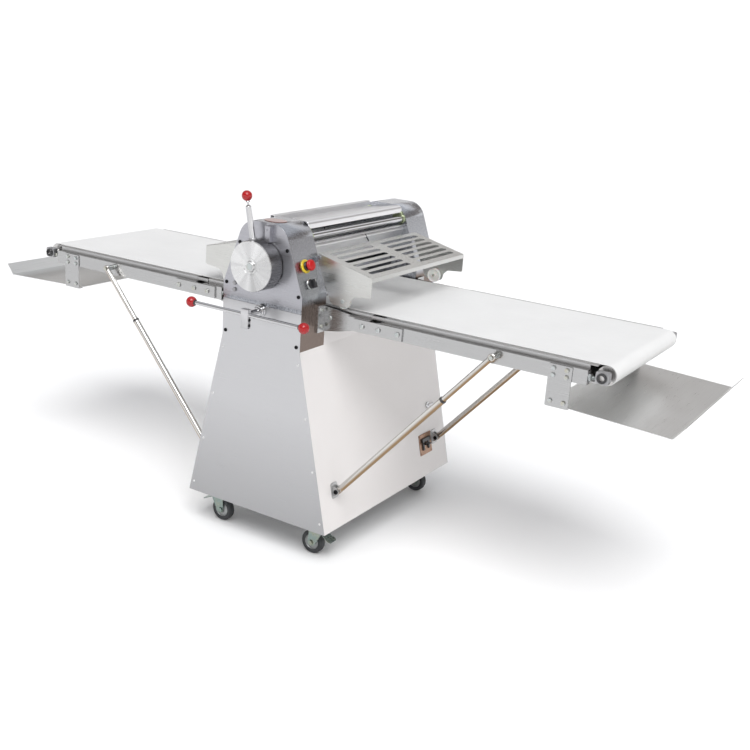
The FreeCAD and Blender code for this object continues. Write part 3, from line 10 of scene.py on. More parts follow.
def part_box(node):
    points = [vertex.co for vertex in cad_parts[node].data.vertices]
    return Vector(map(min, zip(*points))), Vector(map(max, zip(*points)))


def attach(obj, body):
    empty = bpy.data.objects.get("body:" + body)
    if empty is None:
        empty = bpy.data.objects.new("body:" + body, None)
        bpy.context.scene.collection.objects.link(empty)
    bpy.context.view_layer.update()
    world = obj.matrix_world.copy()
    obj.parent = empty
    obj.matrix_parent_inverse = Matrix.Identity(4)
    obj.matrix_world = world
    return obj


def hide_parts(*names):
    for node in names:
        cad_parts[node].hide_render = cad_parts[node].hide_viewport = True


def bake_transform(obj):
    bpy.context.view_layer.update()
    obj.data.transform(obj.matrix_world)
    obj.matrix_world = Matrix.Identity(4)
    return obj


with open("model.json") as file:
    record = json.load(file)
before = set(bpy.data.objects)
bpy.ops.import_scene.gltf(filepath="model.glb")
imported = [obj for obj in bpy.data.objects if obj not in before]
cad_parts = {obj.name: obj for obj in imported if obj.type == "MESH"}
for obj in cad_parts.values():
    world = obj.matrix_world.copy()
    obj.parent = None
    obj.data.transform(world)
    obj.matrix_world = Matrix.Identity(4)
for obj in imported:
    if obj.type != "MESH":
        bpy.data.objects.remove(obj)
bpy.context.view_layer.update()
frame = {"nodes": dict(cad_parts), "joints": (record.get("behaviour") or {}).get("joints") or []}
SIDES = {"right": 1, "left": -1}
ENDS = ("front", "rear")
UP = Vector((0, 0, 1))
OUT = Vector((0, -1, 0))
ALONG = Vector((1, 0, 0))
EDGE = 0.0007


# ---------------------------------------------------------------- places taken from the frame
def low(node):
    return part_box(node)[0]


def high(node):
    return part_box(node)[1]


def joint_place(name):
    """The origin of a joint of the record, as a vector."""
    for joint in frame["joints"]:
        if joint["name"] == name:
            return Vector(joint["pos_m"])
    raise ValueError(name)


FRONT = low("front_panel").y
HEAD_TOP = high("front_plate").z
HEAD_HALF = high("front_plate").x
FOOT_HALF = high("front_panel").x
FOOT = low("front_panel").z
KINK = low("front_housing").z
SPAN = high("roller_hood").y
HOOD_HALF = -low("roller_hood").x
SHOULDER = HEAD_TOP - 0.194
HEAD_SLOPE = (HEAD_HALF - HOOD_HALF) / (HEAD_TOP - SHOULDER)
STAND_LEAN = (FOOT_HALF - HEAD_HALF) / (KINK - FOOT)
HEAD_OUT = Vector((1, 0, HEAD_SLOPE)).normalized()
STAND_OUT = Vector((1, 0, STAND_LEAN)).normalized()


def head_side(z):
    """Where the head's sloping side stands in X at a height above the shoulder."""
    return HEAD_HALF - (z - SHOULDER) * HEAD_SLOPE


def stand_side(z):
    """Where the stand's leaning side stands in X at a height."""
    return FOOT_HALF - (z - FOOT) * STAND_LEAN


# ---------------------------------------------------------------- outlines
def rounded(points, radius, steps=4, closed=True):
    """Ease every corner of an outline with an arc, as large as its sides allow."""
    result = []
    count = len(points)
    for index, point in enumerate(points):
        corner = Vector(point)
        if not closed and index in (0, count - 1):
            result.append(corner)
            continue
        back = Vector(points[index - 1]) - corner
        ahead = Vector(points[(index + 1) % count]) - corner
        turn = back.angle(ahead)
        wanted = radius[index] if isinstance(radius, (list, tuple)) else radius
        if wanted <= 0 or turn > math.radians(176):
            result.append(corner)
            continue
        reach = min(wanted / math.tan(turn / 2), back.length * 0.49, ahead.length * 0.49)
        start = corner + back.normalized() * reach
        end = corner + ahead.normalized() * reach
        for step in range(steps + 1):
            t = step / steps
            result.append(start * (1 - t) ** 2 + corner * 2 * t * (1 - t) + end * t ** 2)
    return result


def rectangle(low_x, low_y, high_x, high_y):
    return [(low_x, low_y), (high_x, low_y), (high_x, high_y), (low_x, high_y)]


def circle(x, y, radius, count=24):
    turn = math.tau / count
    return [Vector((x + radius * math.cos(k * turn), y + radius * math.sin(k * turn))) for k in range(count)]


def long_hole(x, low_y, high_y, width, steps=8):
    """A slot with round ends, running along Y."""
    points = []
    for y, start in ((high_y - width / 2, 0), (low_y + width / 2, math.pi)):
        for step in range(steps + 1):
            angle = start + math.pi * step / steps
            points.append(Vector((x + math.cos(angle) * width / 2, y + math.sin(angle) * width / 2)))
    return points


def wound(points, anticlockwise):
    area = sum(a.x * b.y - b.x * a.y for a, b in zip(points, points[1:] + points[:1]))
    return points if (area > 0) == anticlockwise else points[::-1]


def aim(place, direction, across=None):
    """A matrix at a place whose Z points along a direction, and X across if that is given."""
    z = Vector(direction).normalized()
    if across is None:
        x = (UP if abs(z.z) < 0.9 else Vector((1, 0, 0))).cross(z).normalized()
    else:
        x = (Vector(across) - z * z.dot(Vector(across))).normalized()
    matrix = Matrix((x, z.cross(x), z)).transposed().to_4x4()
    matrix.translation = Vector(place)
    return matrix


# ---------------------------------------------------------------- pieces
def placed(name, data):
    """A new object of the scene."""
    made = bpy.data.objects.new(name, data)
    bpy.context.scene.collection.objects.link(made)
    return made


# Fastener heads: points as shares of radius and height, and the ones that lie on a hexagon.
HEADS = {
    "socket": ([(0, 0.35), (0.45, 0.35), (0.45, 0.9), (0.52, 1), (0.8, 0.93), (0.95, 0.7), (1, 0.4), (1, 0),
                (0, 0)], (1, 2)),
    "hex": ([(0, 1), (0.78, 1), (0.86, 0.9), (0.87, 0.1), (0.8, 0), (0, 0)], (2, 3)),
    "dish": ([(0, 0.3), (0.3, 0.3), (0.34, 0.75), (0.6, 0.85), (0.9, 0.6), (1, 0.2), (1, 0), (0, 0)], (1, 2)),
    "rivet": ([(0, 1), (0.4, 0.95), (0.72, 0.75), (0.92, 0.42), (1, 0), (0, 0)], ()),
}
TINY = 1e-6
SHARP = math.radians(34)


def skin(part, rings, closed=False):
    """Faces between neighbouring rings of points; a ring of one point is a tip."""
    for one, two in zip(rings, rings[1:] + (rings[:1] if closed else [])):
        count = max(len(one), len(two))
        for k in range(count if count > 1 else 0):
            after = (k + 1) % count
            corners = (one[k % len(one)], one[after % len(one)], two[after % len(two)], two[k % len(two)])
            part.faces.new(tuple(dict.fromkeys(corners)))


class Piece:
    """One visible piece: shapes of one finish that move together."""

    def __init__(self, name, finish, body="root"):
        self.name, self.finish, self.body = name, finish, body
        self.mesh = bmesh.new()

    def take(self, part, place=None):
        if place is not None:
            part.transform(place)
        holder = bpy.data.meshes.new("holder")
        part.to_mesh(holder)
        part.free()
        self.mesh.from_mesh(holder)
        bpy.data.meshes.remove(holder)

    def turned(self, outline, place, turns=48, hexed=(), closed=False):
        """Spin (radius, height) points round the Z of a matrix; hexed ones lie on a hexagon."""
        part = bmesh.new()
        rings = []
        for index, (radius, height) in enumerate(outline):
            if radius < TINY:
                rings.append([part.verts.new((0, 0, height))])
                continue
            ring = []
            for k in range(turns):
                angle = math.tau * k / turns
                share = 1
                if index in hexed:
                    share = 1 / math.cos(angle % (math.pi / 3) - math.pi / 6)
                across, along = radius * share * math.cos(angle), radius * share * math.sin(angle)
                ring.append(part.verts.new((across, along, height)))
            rings.append(ring)
        skin(part, rings, closed)
        bmesh.ops.recalc_face_normals(part, faces=part.faces)
        self.take(part, place)
        return self

    def rod(self, start, end, radius, edge=EDGE, turns=40):
        """A bar with eased ends from one point to another."""
        start, end = Vector(start), Vector(end)
        length = (end - start).length
        edge = min(edge, radius * 0.4, length * 0.3)
        ease = edge * 0.3
        outline = [(0, 0), (radius - edge, 0), (radius - ease, ease), (radius, edge), (radius, length - edge),
                   (radius - ease, length - ease), (radius - edge, length), (0, length)]
        return self.turned(outline, aim(start, end - start), turns)

    def tube(self, start, end, radius, bore, edge=EDGE, turns=40):
        """A hollow bar with eased rims."""
        start, end = Vector(start), Vector(end)
        length = (end - start).length
        outline = [(bore, 0), (radius - edge, 0), (radius, edge), (radius, length - edge),
                   (radius - edge, length), (bore, length)]
        return self.turned(outline, aim(start, end - start), turns, closed=True)

    def ball(self, centre, radius, axis, flat, steps=24):
        """A turned ball; flat is how much of its foot is cut off."""
        start = math.acos(1 - flat / radius) - math.pi / 2
        outline = [(0, radius * math.sin(start))]
        for k in range(steps + 1):
            angle = start + (math.pi / 2 - start) * k / steps
            outline.append((max(radius * math.cos(angle), 0), radius * math.sin(angle)))
        return self.turned(outline, aim(centre, axis))

    def block(self, corner, other, edge=EDGE, place=None, segments=2):
        """A block between two corners with eased edges."""
        a, b = Vector(corner), Vector(other)
        size, middle = b - a, (a + b) / 2
        part = bmesh.new()
        bmesh.ops.create_cube(part, size=1)
        part.transform(Matrix.Translation(middle) @ Matrix.Diagonal((*[abs(s) for s in size], 1)))
        edge = min(edge, min(abs(s) for s in size) * 0.45)
        bmesh.ops.bevel(part, geom=part.edges, offset=edge, segments=segments, profile=0.5, affect="EDGES")
        self.take(part, place)
        return self

    def plate(self, loops, thickness, place, edge=EDGE):
        """A flat plate from closed outlines, the first outside and the rest holes, up along Z."""
        curve = bpy.data.curves.new("outline", "CURVE")
        curve.dimensions = "2D"
        curve.fill_mode = "BOTH"
        edge = min(edge, thickness * 0.45)
        curve.extrude = thickness / 2 - edge
        curve.bevel_depth = edge
        curve.bevel_resolution = 1
        curve.offset = -edge
        for index, loop in enumerate(loops):
            points = wound([Vector(point) for point in loop], index == 0)
            spline = curve.splines.new("POLY")
            spline.points.add(len(points) - 1)
            for slot, point in zip(spline.points, points):
                slot.co = (point.x, point.y, 0, 1)
            spline.use_cyclic_u = True
        holder = bpy.data.objects.new("outline", curve)
        flat = bpy.data.meshes.new_from_object(holder)
        part = bmesh.new()
        part.from_mesh(flat)
        bpy.data.objects.remove(holder)
        bpy.data.curves.remove(curve)
        bpy.data.meshes.remove(flat)
        bmesh.ops.remove_doubles(part, verts=part.verts, dist=1e-6)
        part.transform(Matrix.Translation((0, 0, thickness / 2)))
        self.take(part, place)
        return self

    def folded(self, line, thickness, low_y, high_y, edge=0.0003):
        """A sheet that follows an open line in X and Z, from one Y to another."""
        points = [Vector(point) for point in line]
        normals = []
        for index in range(len(points)):
            before = points[max(index - 1, 0)]
            after = points[min(index + 1, len(points) - 1)]
            run = (after - before).normalized()
            normals.append(Vector((-run.y, run.x)))
        near = [p + n * thickness / 2 for p, n in zip(points, normals)]
        far = [p - n * thickness / 2 for p, n in zip(points, normals)]
        loop = near + far[::-1]
        part = bmesh.new()
        rings = []
        for y, shrink in ((low_y, edge), (low_y + edge, 0), (high_y - edge, 0), (high_y, edge)):
            ring = []
            for point, inner in zip(loop, points + points[::-1]):
                moved = point + (inner - point).normalized() * shrink
                ring.append(part.verts.new((moved.x, y, moved.y)))
            rings.append(ring)
        skin(part, rings)
        count = len(loop)
        for ring in (rings[0], rings[-1]):
            for k in range(len(points) - 1):
                part.faces.new((ring[k], ring[k + 1], ring[count - 2 - k], ring[count - 1 - k]))
        bmesh.ops.recalc_face_normals(part, faces=part.faces)
        self.take(part)
        return self

    def screw(self, place, direction, radius, height, kind="socket"):
        """A fastener's head standing on a face."""
        outline, hexed = HEADS[kind]
        return self.turned([(radius * r, height * h) for r, h in outline], aim(place, direction), 24, hexed)

    def mirrored(self, *axes):
        """Add the mirror image of all so far, across a plane through the origin, once per axis."""
        for axis in axes:
            part = self.mesh.copy()
            scale = [1, 1, 1]
            scale["xyz".index(axis)] = -1
            part.transform(Matrix.Diagonal((*scale, 1)))
            bmesh.ops.reverse_faces(part, faces=part.faces)
            self.take(part)
        return self

    def flip(self, sign):
        """Move the whole to the other side of X = 0 when the sign is -1."""
        if sign < 0:
            self.mesh.transform(Matrix.Diagonal((-1, 1, 1, 1)))
            bmesh.ops.reverse_faces(self.mesh, faces=self.mesh.faces)
        return self

    def done(self, *replaced, slot=None, weighted=True, ride=True):
        """Make the piece, and say what it rides on, stands for and is finished in."""
        mesh = bpy.data.meshes.new(self.name)
        self.mesh.to_mesh(mesh)
        self.mesh.free()
        mesh.shade_smooth()
        mesh.set_sharp_from_angle(angle=SHARP)
        mesh.materials.append(self.finish)
        piece = placed(self.name, mesh)
        if weighted:
            fair = piece.modifiers.new("fair_normals", "WEIGHTED_NORMAL")
            fair.keep_sharp = True
        if ride:
            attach(piece, self.body)
        if replaced:
            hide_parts(*replaced)
        return piece


# ---------------------------------------------------------------- finishes
GRAIN_X = (1.2, 90, 90)
GRAIN_Y = (90, 1.2, 90)
GRAIN_Z = (90, 90, 1.2)
MIX_ONE, MIX_TWO, MIXED = 6, 7, 2  # the colour sockets of a Mix node


class Finish:
    """A material on one principled shader, with helpers for its pattern nodes."""

    def __init__(self, name, colour, metal=0.0, rough=0.4, **sockets):
        self.material = bpy.data.materials.new(name)
        self.material.use_nodes = True
        self.nodes, self.links = self.material.node_tree.nodes, self.material.node_tree.links
        self.shader = self.nodes["Principled BSDF"]
        self.shader.inputs["Base Color"].default_value = (*colour, 1)
        self.shader.inputs["Metallic"].default_value = metal
        self.shader.inputs["Roughness"].default_value = rough
        for socket, number in sockets.items():
            self.shader.inputs[socket.replace("_", " ")].default_value = number
        self.colour = colour
        self.height = None

    def where(self, stretch=(1, 1, 1), shift=(0, 0, 0), turn=(0, 0, 0)):
        """The object's own coordinates, shifted and stretched."""
        mapping = self.node("Mapping", Location=shift, Rotation=turn, Scale=stretch)
        self.links.new(self.node("TexCoord").outputs["Object"], mapping.inputs["Vector"])
        return mapping.outputs["Vector"]

    def node(self, kind, settings=None, **sockets):
        """A node with its settings, and values on its sockets, whose names take _ for a space."""
        made = self.nodes.new(f"ShaderNode{kind}")
        for name, value in (settings or {}).items():
            setattr(made, name, value)
        for name, value in sockets.items():
            made.inputs[name.replace("_", " ")].default_value = value
        return made

    def part(self, axis, vector=None):
        """One coordinate of a vector, or else of the object's own place."""
        split = self.node("SeparateXYZ")
        self.links.new(self.where() if vector is None else vector, split.inputs["Vector"])
        return split.outputs[axis]

    def noise(self, scale, stretch=(1, 1, 1), detail=3.0):
        texture = self.node("TexNoise", Scale=scale, Detail=detail, Roughness=0.6)
        self.links.new(self.where(stretch), texture.inputs["Vector"])
        return texture.outputs["Fac"]

    def wave(self, scale, direction):
        texture = self.node("TexWave", {"wave_type": "BANDS", "bands_direction": direction}, Scale=scale)
        self.links.new(self.where(), texture.inputs["Vector"])
        return texture.outputs["Fac"]

    def rings(self, centre, scale, axis):
        """Concentric turning marks round an axis through a point."""
        stretch = [1, 1, 1]
        stretch["xyz".index(axis)] = 0
        shift = [-c * s for c, s in zip(centre, stretch)]
        texture = self.node("TexWave", {"wave_type": "RINGS", "rings_direction": "SPHERICAL"}, Scale=scale,
                            Distortion=1.5, Detail=3)
        self.links.new(self.where(stretch, shift), texture.inputs["Vector"])
        return texture.outputs["Fac"]

    def spread(self, value, lowest, highest, start=0.3, end=0.7):
        ranged = self.node("MapRange", From_Min=start, From_Max=end, To_Min=lowest, To_Max=highest)
        self.links.new(value, ranged.inputs["Value"])
        return ranged.outputs["Result"]

    def mixed(self, one, two, how="MULTIPLY"):
        both = self.node("Math", {"operation": how})
        self.links.new(one, both.inputs[0])
        self.links.new(two, both.inputs[1])
        return both.outputs["Value"]

    def vary_rough(self, value, lowest, highest):
        self.links.new(self.spread(value, lowest, highest), self.shader.inputs["Roughness"])
        return self

    def colours(self, value, one, two, start, end):
        """Take the base colour from one to another as a value goes from start to end."""
        mix = self.node("Mix", {"data_type": "RGBA"})
        mix.inputs[MIX_ONE].default_value = (*one, 1)
        mix.inputs[MIX_TWO].default_value = (*two, 1)
        self.links.new(self.spread(value, 0, 1, start, end), mix.inputs["Factor"])
        self.links.new(mix.outputs[MIXED], self.shader.inputs["Base Color"])
        return self

    def vary_colour(self, value, dark, light, start=0.3, end=0.7):
        """Shade the base colour between two multiples of itself."""
        shades = [[min(c * share, 1) for c in self.colour] for share in (dark, light)]
        return self.colours(value, *shades, start, end)

    def tinted(self, value, tint, start=0.45, end=0.7):
        """Blend from the base colour to a tint."""
        return self.colours(value, self.colour, tint, start, end)

    def relief(self, value, depth, strength=1.0):
        bump = self.node("Bump", Strength=strength, Distance=depth)
        self.links.new(value, bump.inputs["Height"])
        if self.height is not None:
            self.links.new(self.height, bump.inputs["Normal"])
        self.height = bump.outputs["Normal"]
        self.links.new(self.height, self.shader.inputs["Normal"])
        return self


    def mottled(self, tone, gloss, grit):
        """Clouds, uneven gloss and fine grit, each a noise's scale and detail, then what it varies between.

        The grit's last two numbers are its depth and strength instead.
        """
        for (scale, detail, one, two), vary in ((tone, self.vary_colour), (gloss, self.vary_rough),
                                                (grit, self.relief)):
            vary(self.noise(scale, detail=detail), one, two)
        return self.material


def front_sheet():
    """Satin sheet with painted shade, a little lighter at its middle than at its foot."""
    made = Finish("front_steel", (0.52, 0.52, 0.53), 1.0, 0.34)
    lines = made.noise(9, GRAIN_X, 4)
    # painted shade: the colour darkens from a height of 0.45 m down to the foot
    made.vary_colour(made.mixed(made.part("Z"), made.spread(lines, 0.93, 1.05)), 0.76, 1.08, FOOT, 0.45)
    made.vary_rough(lines, 0.27, 0.42)
    made.relief(lines, 0.00001, 0.4)
    return made.material


def housing_steel():
    """Satin steel whose lower bands carry a painted warm, dark reflection, below the shoulder of the head."""
    made = Finish("housing_steel", (0.47, 0.485, 0.52), 1.0, 0.24)
    lines = made.noise(9, GRAIN_Z, 4)
    # painted reflection: a warm dark tint on the outer faces below the shoulder
    below = made.spread(made.part("Z"), 0, 1, SHOULDER - 0.012, SHOULDER - 0.03)
    aside = made.node("Math", {"operation": "ABSOLUTE"})
    made.links.new(made.part("X"), aside.inputs[0])
    outside = made.spread(aside.outputs["Value"], 0, 1, HEAD_HALF - 0.002, HEAD_HALF - 0.001)
    made.tinted(made.mixed(below, outside), (0.19, 0.15, 0.13), 0, 1)
    made.vary_rough(lines, 0.18, 0.32)
    made.relief(lines, 0.000004, 0.3)
    return made.material


def brushed(name, colour, grain, rough, detail=0.00002):
    """Stainless sheet with a directional grain, faint clouding and handling marks."""
    made = Finish(name, colour, 1.0, rough)
    lines = made.noise(9, grain, 4)
    cloud = made.noise(3.5, (1, 1, 1), 3)
    made.vary_rough(made.mixed(lines, made.spread(cloud, 0.85, 1.15)), rough * 0.8, rough * 1.25)
    made.vary_colour(lines, 0.93, 1.05)
    made.relief(lines, detail, 0.5)
    return made.material


def powder_coat(name, colour, rough=0.42):
    """Baked paint: orange peel, very faint clouding, soft gloss."""
    made = Finish(name, colour, 0.0, rough, Coat_Weight=0.25, Coat_Roughness=0.2)
    return made.mottled((2.2, 3, 0.975, 1.02), (40, 3, rough * 0.9, rough * 1.12), (620, 2, 0.00012, 0.35))


def polished(name, colour, rough=0.08):
    """Chrome plate: nearly a mirror, with fine wipe marks."""
    made = Finish(name, colour, 1.0, rough)
    made.vary_rough(made.noise(25, (1, 1, 4), 5), rough * 0.6, rough * 1.8)
    made.vary_colour(made.noise(8), 0.96, 1.03)
    made.relief(made.noise(240, detail=2), 0.00001, 0.3)
    return made.material


def strut_chrome():
    """Bright tube with a painted warm reflection along its underside."""
    made = Finish("strut_chrome", (0.62, 0.61, 0.59), 1.0, 0.14)
    # painted reflection: faces that turn downward are tinted brown
    facing = made.part("Z", made.node("NewGeometry").outputs["Normal"])
    made.tinted(facing, (0.30, 0.20, 0.11), 0.1, -0.35)
    made.vary_rough(made.noise(25, (1, 1, 4), 5), 0.09, 0.22)
    return made.material


def cast_metal(name, colour, rough=0.5):
    """A casting with a fine sandy skin."""
    made = Finish(name, colour, 0.85, rough)
    return made.mottled((18, 5, 0.8, 1.12), (60, 4, rough * 0.75, rough * 1.2), (420, 4, 0.00012, 0.45))


def zinc_plate(name, colour, bloom):
    """Bright zinc with its bluish, slightly yellow bloom."""
    made = Finish(name, colour, 1.0, 0.28)
    made.tinted(made.noise(30, detail=4), bloom)
    made.vary_rough(made.noise(70, detail=4), 0.2, 0.42)
    made.relief(made.noise(300), 0.00004, 0.4)
    return made.material


def moulded(name, colour, rough=0.25, coat=0.5):
    """Moulded or lacquered plastic with a faint mottle."""
    made = Finish(name, colour, 0.0, rough, Coat_Weight=coat, Coat_Roughness=0.06)
    return made.mottled((35, 3, 0.93, 1.05), (90, 3, rough * 0.85, rough * 1.2), (500, 3, 0.00002, 0.3))


def rubber(name, colour=(0.02, 0.02, 0.021)):
    """Dull rubber, dusty in places."""
    made = Finish(name, colour, 0.0, 0.6)
    return made.mottled((30, 4, 0.8, 1.6), (50, 3, 0.5, 0.75), (700, 3, 0.00008, 0.5))


def belt_cloth():
    """White conveyor cloth: a fine woven face with a light dusting of flour."""
    made = Finish("belt_cloth", (0.735, 0.735, 0.73), 0.0, 0.62, Sheen_Weight=0.15)
    weave = made.mixed(made.wave(190, "X"), made.wave(190, "Y"), "ADD")
    made.vary_colour(made.noise(5, detail=5), 0.965, 1.02)
    made.vary_rough(made.noise(60), 0.55, 0.72)
    made.relief(weave, 0.00012, 0.35)
    made.relief(made.noise(900), 0.00006, 0.25)
    return made.material


def turned_aluminium(centre):
    """A lathe-faced disc: concentric tool marks, and painted fans of highlight and shade round its centre."""
    made = Finish("turned_aluminium", (0.62, 0.62, 0.62), 1.0, 0.28, Anisotropic=0.6)
    tangent = made.node("Tangent", {"direction_type": "RADIAL", "axis": "Y"})
    made.links.new(tangent.outputs["Tangent"], made.shader.inputs["Tangent"])
    # painted highlights and shade: the base colour rises and falls in fans round the centre
    fans = made.node("TexGradient", {"gradient_type": "RADIAL"})
    turn = (math.pi / 2, 0, 0)
    made.links.new(made.where((1, 1, 1), (-centre.x, centre.z, 0), turn), fans.inputs["Vector"])
    bands = made.node("TexNoise", {"noise_dimensions": "1D"}, Scale=5, Detail=4)
    made.links.new(fans.outputs["Fac"], bands.inputs["W"])
    made.vary_colour(bands.outputs["Fac"], 0.78, 1.25, 0.35, 0.65)
    made.vary_rough(made.noise(30, detail=4), 0.2, 0.34)
    made.relief(made.rings(centre, 260, "y"), 0.00002, 0.5)
    return made.material


def nylon():
    """Milky plastic that light goes into a little."""
    made = Finish("nylon", (0.82, 0.82, 0.78), 0.0, 0.38, Subsurface_Weight=0.15, Subsurface_Scale=0.004)
    return made.mottled((30, 3, 0.95, 1.03), (60, 3, 0.3, 0.48), (400, 3, 0.00003, 0.3))


def steel_bar(name, colour=(0.58, 0.57, 0.56), rough=0.3):
    """Ground bar stock, its marks running round it."""
    made = Finish(name, colour, 1.0, rough)
    lines = made.noise(9, GRAIN_Z, 4)
    made.vary_rough(lines, rough * 0.7, rough * 1.3)
    made.vary_colour(made.noise(20, detail=4), 0.9, 1.05)
    made.relief(lines, 0.00001, 0.4)
    return made.material


DIAL_CENTRE = joint_place("gap_handle_turn")
DIAL_FRONT, DIAL_BACK, DIAL_RADIUS = low("gap_dial").y + 0.006, FRONT - 0.003, 0.073
FRONT_STEEL = front_sheet()
PLATE_STEEL = brushed("plate_steel", (0.44, 0.44, 0.47), GRAIN_X, 0.3)
HOUSING_STEEL = housing_steel()
SATIN_STEEL = brushed("satin_steel", (0.70, 0.70, 0.69), GRAIN_Y, 0.33, 0.000004)
RAIL_STEEL = brushed("rail_steel", (0.47, 0.47, 0.47), GRAIN_X, 0.24)
HOOD_STEEL = brushed("hood_steel", (0.80, 0.80, 0.81), GRAIN_Y, 0.34)
GUARD_STEEL = brushed("guard_steel", (0.62, 0.62, 0.60), GRAIN_X, 0.3)
WHITE_PAINT = powder_coat("white_powder", (0.70, 0.675, 0.665))
FRAME_PAINT = powder_coat("frame_paint", (0.42, 0.43, 0.44), 0.5)
MOTOR_PAINT = powder_coat("motor_paint", (0.13, 0.16, 0.2), 0.5)
CHROME = polished("chrome", (0.56, 0.56, 0.57))
PAINTED_REFLECTION_CHROME = strut_chrome()
CAST_GREY = cast_metal("cast_grey", (0.42, 0.42, 0.43))
ZINC = zinc_plate("zinc", (0.52, 0.55, 0.55), (0.5, 0.48, 0.4))
CASTER_ZINC = zinc_plate("caster_zinc", (0.25, 0.31, 0.29), (0.34, 0.34, 0.26))
BLACK_OXIDE = cast_metal("black_oxide", (0.02, 0.02, 0.022), 0.4)
RED_GLOSS = moulded("red_gloss", (0.36, 0.001, 0.004), 0.2, 0.25)
RED_BUTTON = moulded("red_button", (0.46, 0.002, 0.003), 0.35, 0.1)
YELLOW = moulded("yellow_plastic", (0.78, 0.58, 0.03), 0.35)
BLACK_PLASTIC = moulded("black_plastic", (0.018, 0.018, 0.02), 0.32, 0.3)
BELT = belt_cloth()
DIAL = turned_aluminium(DIAL_CENTRE)
# a dark copy of the dial's metal, painted shade on the side of the drum
DIAL_RIM_SHADE = brushed("dial_rim", (0.22, 0.22, 0.225), GRAIN_Y, 0.26)
NYLON = nylon()
TYRE = rubber("tyre", (0.028, 0.03, 0.032))
BLACK_RUBBER = rubber("black_rubber")
GROUND_STEEL = steel_bar("ground_steel")
BRONZE = brushed("bronze_plate", (0.33, 0.21, 0.15), GRAIN_X, 0.3)
BADGE = moulded("badge_enamel", (0.20, 0.075, 0.06), 0.3, 0.5)
BED_STEEL = brushed("bed_steel", (0.50, 0.50, 0.50), GRAIN_X, 0.32)
LUG_WHITE = cast_metal("lug_white", (0.52, 0.52, 0.52), 0.38)
BEARING_GREEN = cast_metal("bearing_bronze", (0.50, 0.56, 0.36), 0.38)
CLAMP_GREY = cast_metal("clamp_grey", (0.55, 0.55, 0.56), 0.36)
RIVET_WHITE = brushed("rivet_steel", (0.72, 0.72, 0.72), GRAIN_X, 0.3)
HUB_GREY = cast_metal("hub_grey", (0.35, 0.36, 0.36), 0.42)


# ---------------------------------------------------------------- belts and tables
def sheet_panel(piece, loops, low_y, high_y, edge=EDGE):
    """A plate drawn in X and Z that fills a span of Y."""
    return piece.plate(loops, high_y - low_y, aim((0, high_y, 0), OUT), edge)


def make_belts():
    """One endless belt a side: over the beds and round both rollers."""
    thickness, edge, bend_step, arc_steps = 0.0017, 0.0003, 0.012, 24
    for side, sign in SIDES.items():
        far = joint_place(f"end_roller_{side}_spin")
        near = joint_place(f"drive_roller_{side}_spin")
        top, width = high(f"belt_{side}").z, high(f"belt_{side}").y
        radius = top - far.z
        start, end = abs(near.x), abs(far.x)
        steps = int((end - start) / bend_step)
        runs = [(end - start) * k / steps for k in range(steps)]
        turns = [math.pi / 2 - math.pi * k / arc_steps for k in range(arc_steps)]
        path = [(start + run, top, 0, 1) for run in runs]
        path += [(end + radius * math.cos(a), far.z + radius * math.sin(a), math.cos(a), math.sin(a))
                 for a in turns]
        path += [(end - run, far.z - radius, 0, -1) for run in runs]
        path += [(start - radius * math.cos(a), near.z - radius * math.sin(a), -math.cos(a), -math.sin(a))
                 for a in turns]
        section = [(width - edge, 0), (width, edge), (width, thickness - edge), (width - edge, thickness)]
        section += [(-y, depth) for y, depth in section[::-1]]
        belt = Piece(f"belt_cloth_{side}", BELT)
        part = bmesh.new()
        rings = [[part.verts.new((sign * (x - nx * d), y, z - nz * d)) for y, d in section]
                 for x, z, nx, nz in path]
        skin(part, rings, closed=True)
        bmesh.ops.recalc_face_normals(part, faces=part.faces)
        belt.take(part)
        cloth = belt.done(f"belt_{side}", "inner_belts", slot="belt", weighted=False, ride=False)
        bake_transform(cloth)


def make_fold_fillers():
    """Strips that close the side of the gap between the fixed and the folding bed."""
    wall, divisions, bed_gap, fixed_end = 0.006, 8, 0.0005, 0.0365
    edge_y = high("bed_right").y
    for side, sign in SIDES.items():
        fold = joint_place(f"table_{side}_fold")
        start, end = abs(fold.x) - fixed_end, abs(low("bed_right").x) - bed_gap
        bottom, top = low("bed_right").z + 0.001, high("bed_right").z - 0.001
        filler = Piece(f"fold_fillers_{side}", BED_STEEL)
        outline = [(start + (end - start) * k / divisions, top) for k in range(divisions + 1)]
        outline += [(x, bottom) for x, _ in outline[::-1]]
        sheet_panel(filler, [outline], -edge_y, -edge_y + wall, 0.0005)
        strip = filler.mirrored("y").flip(sign).done(slot="stainless_satin", ride=False)
        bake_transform(strip)


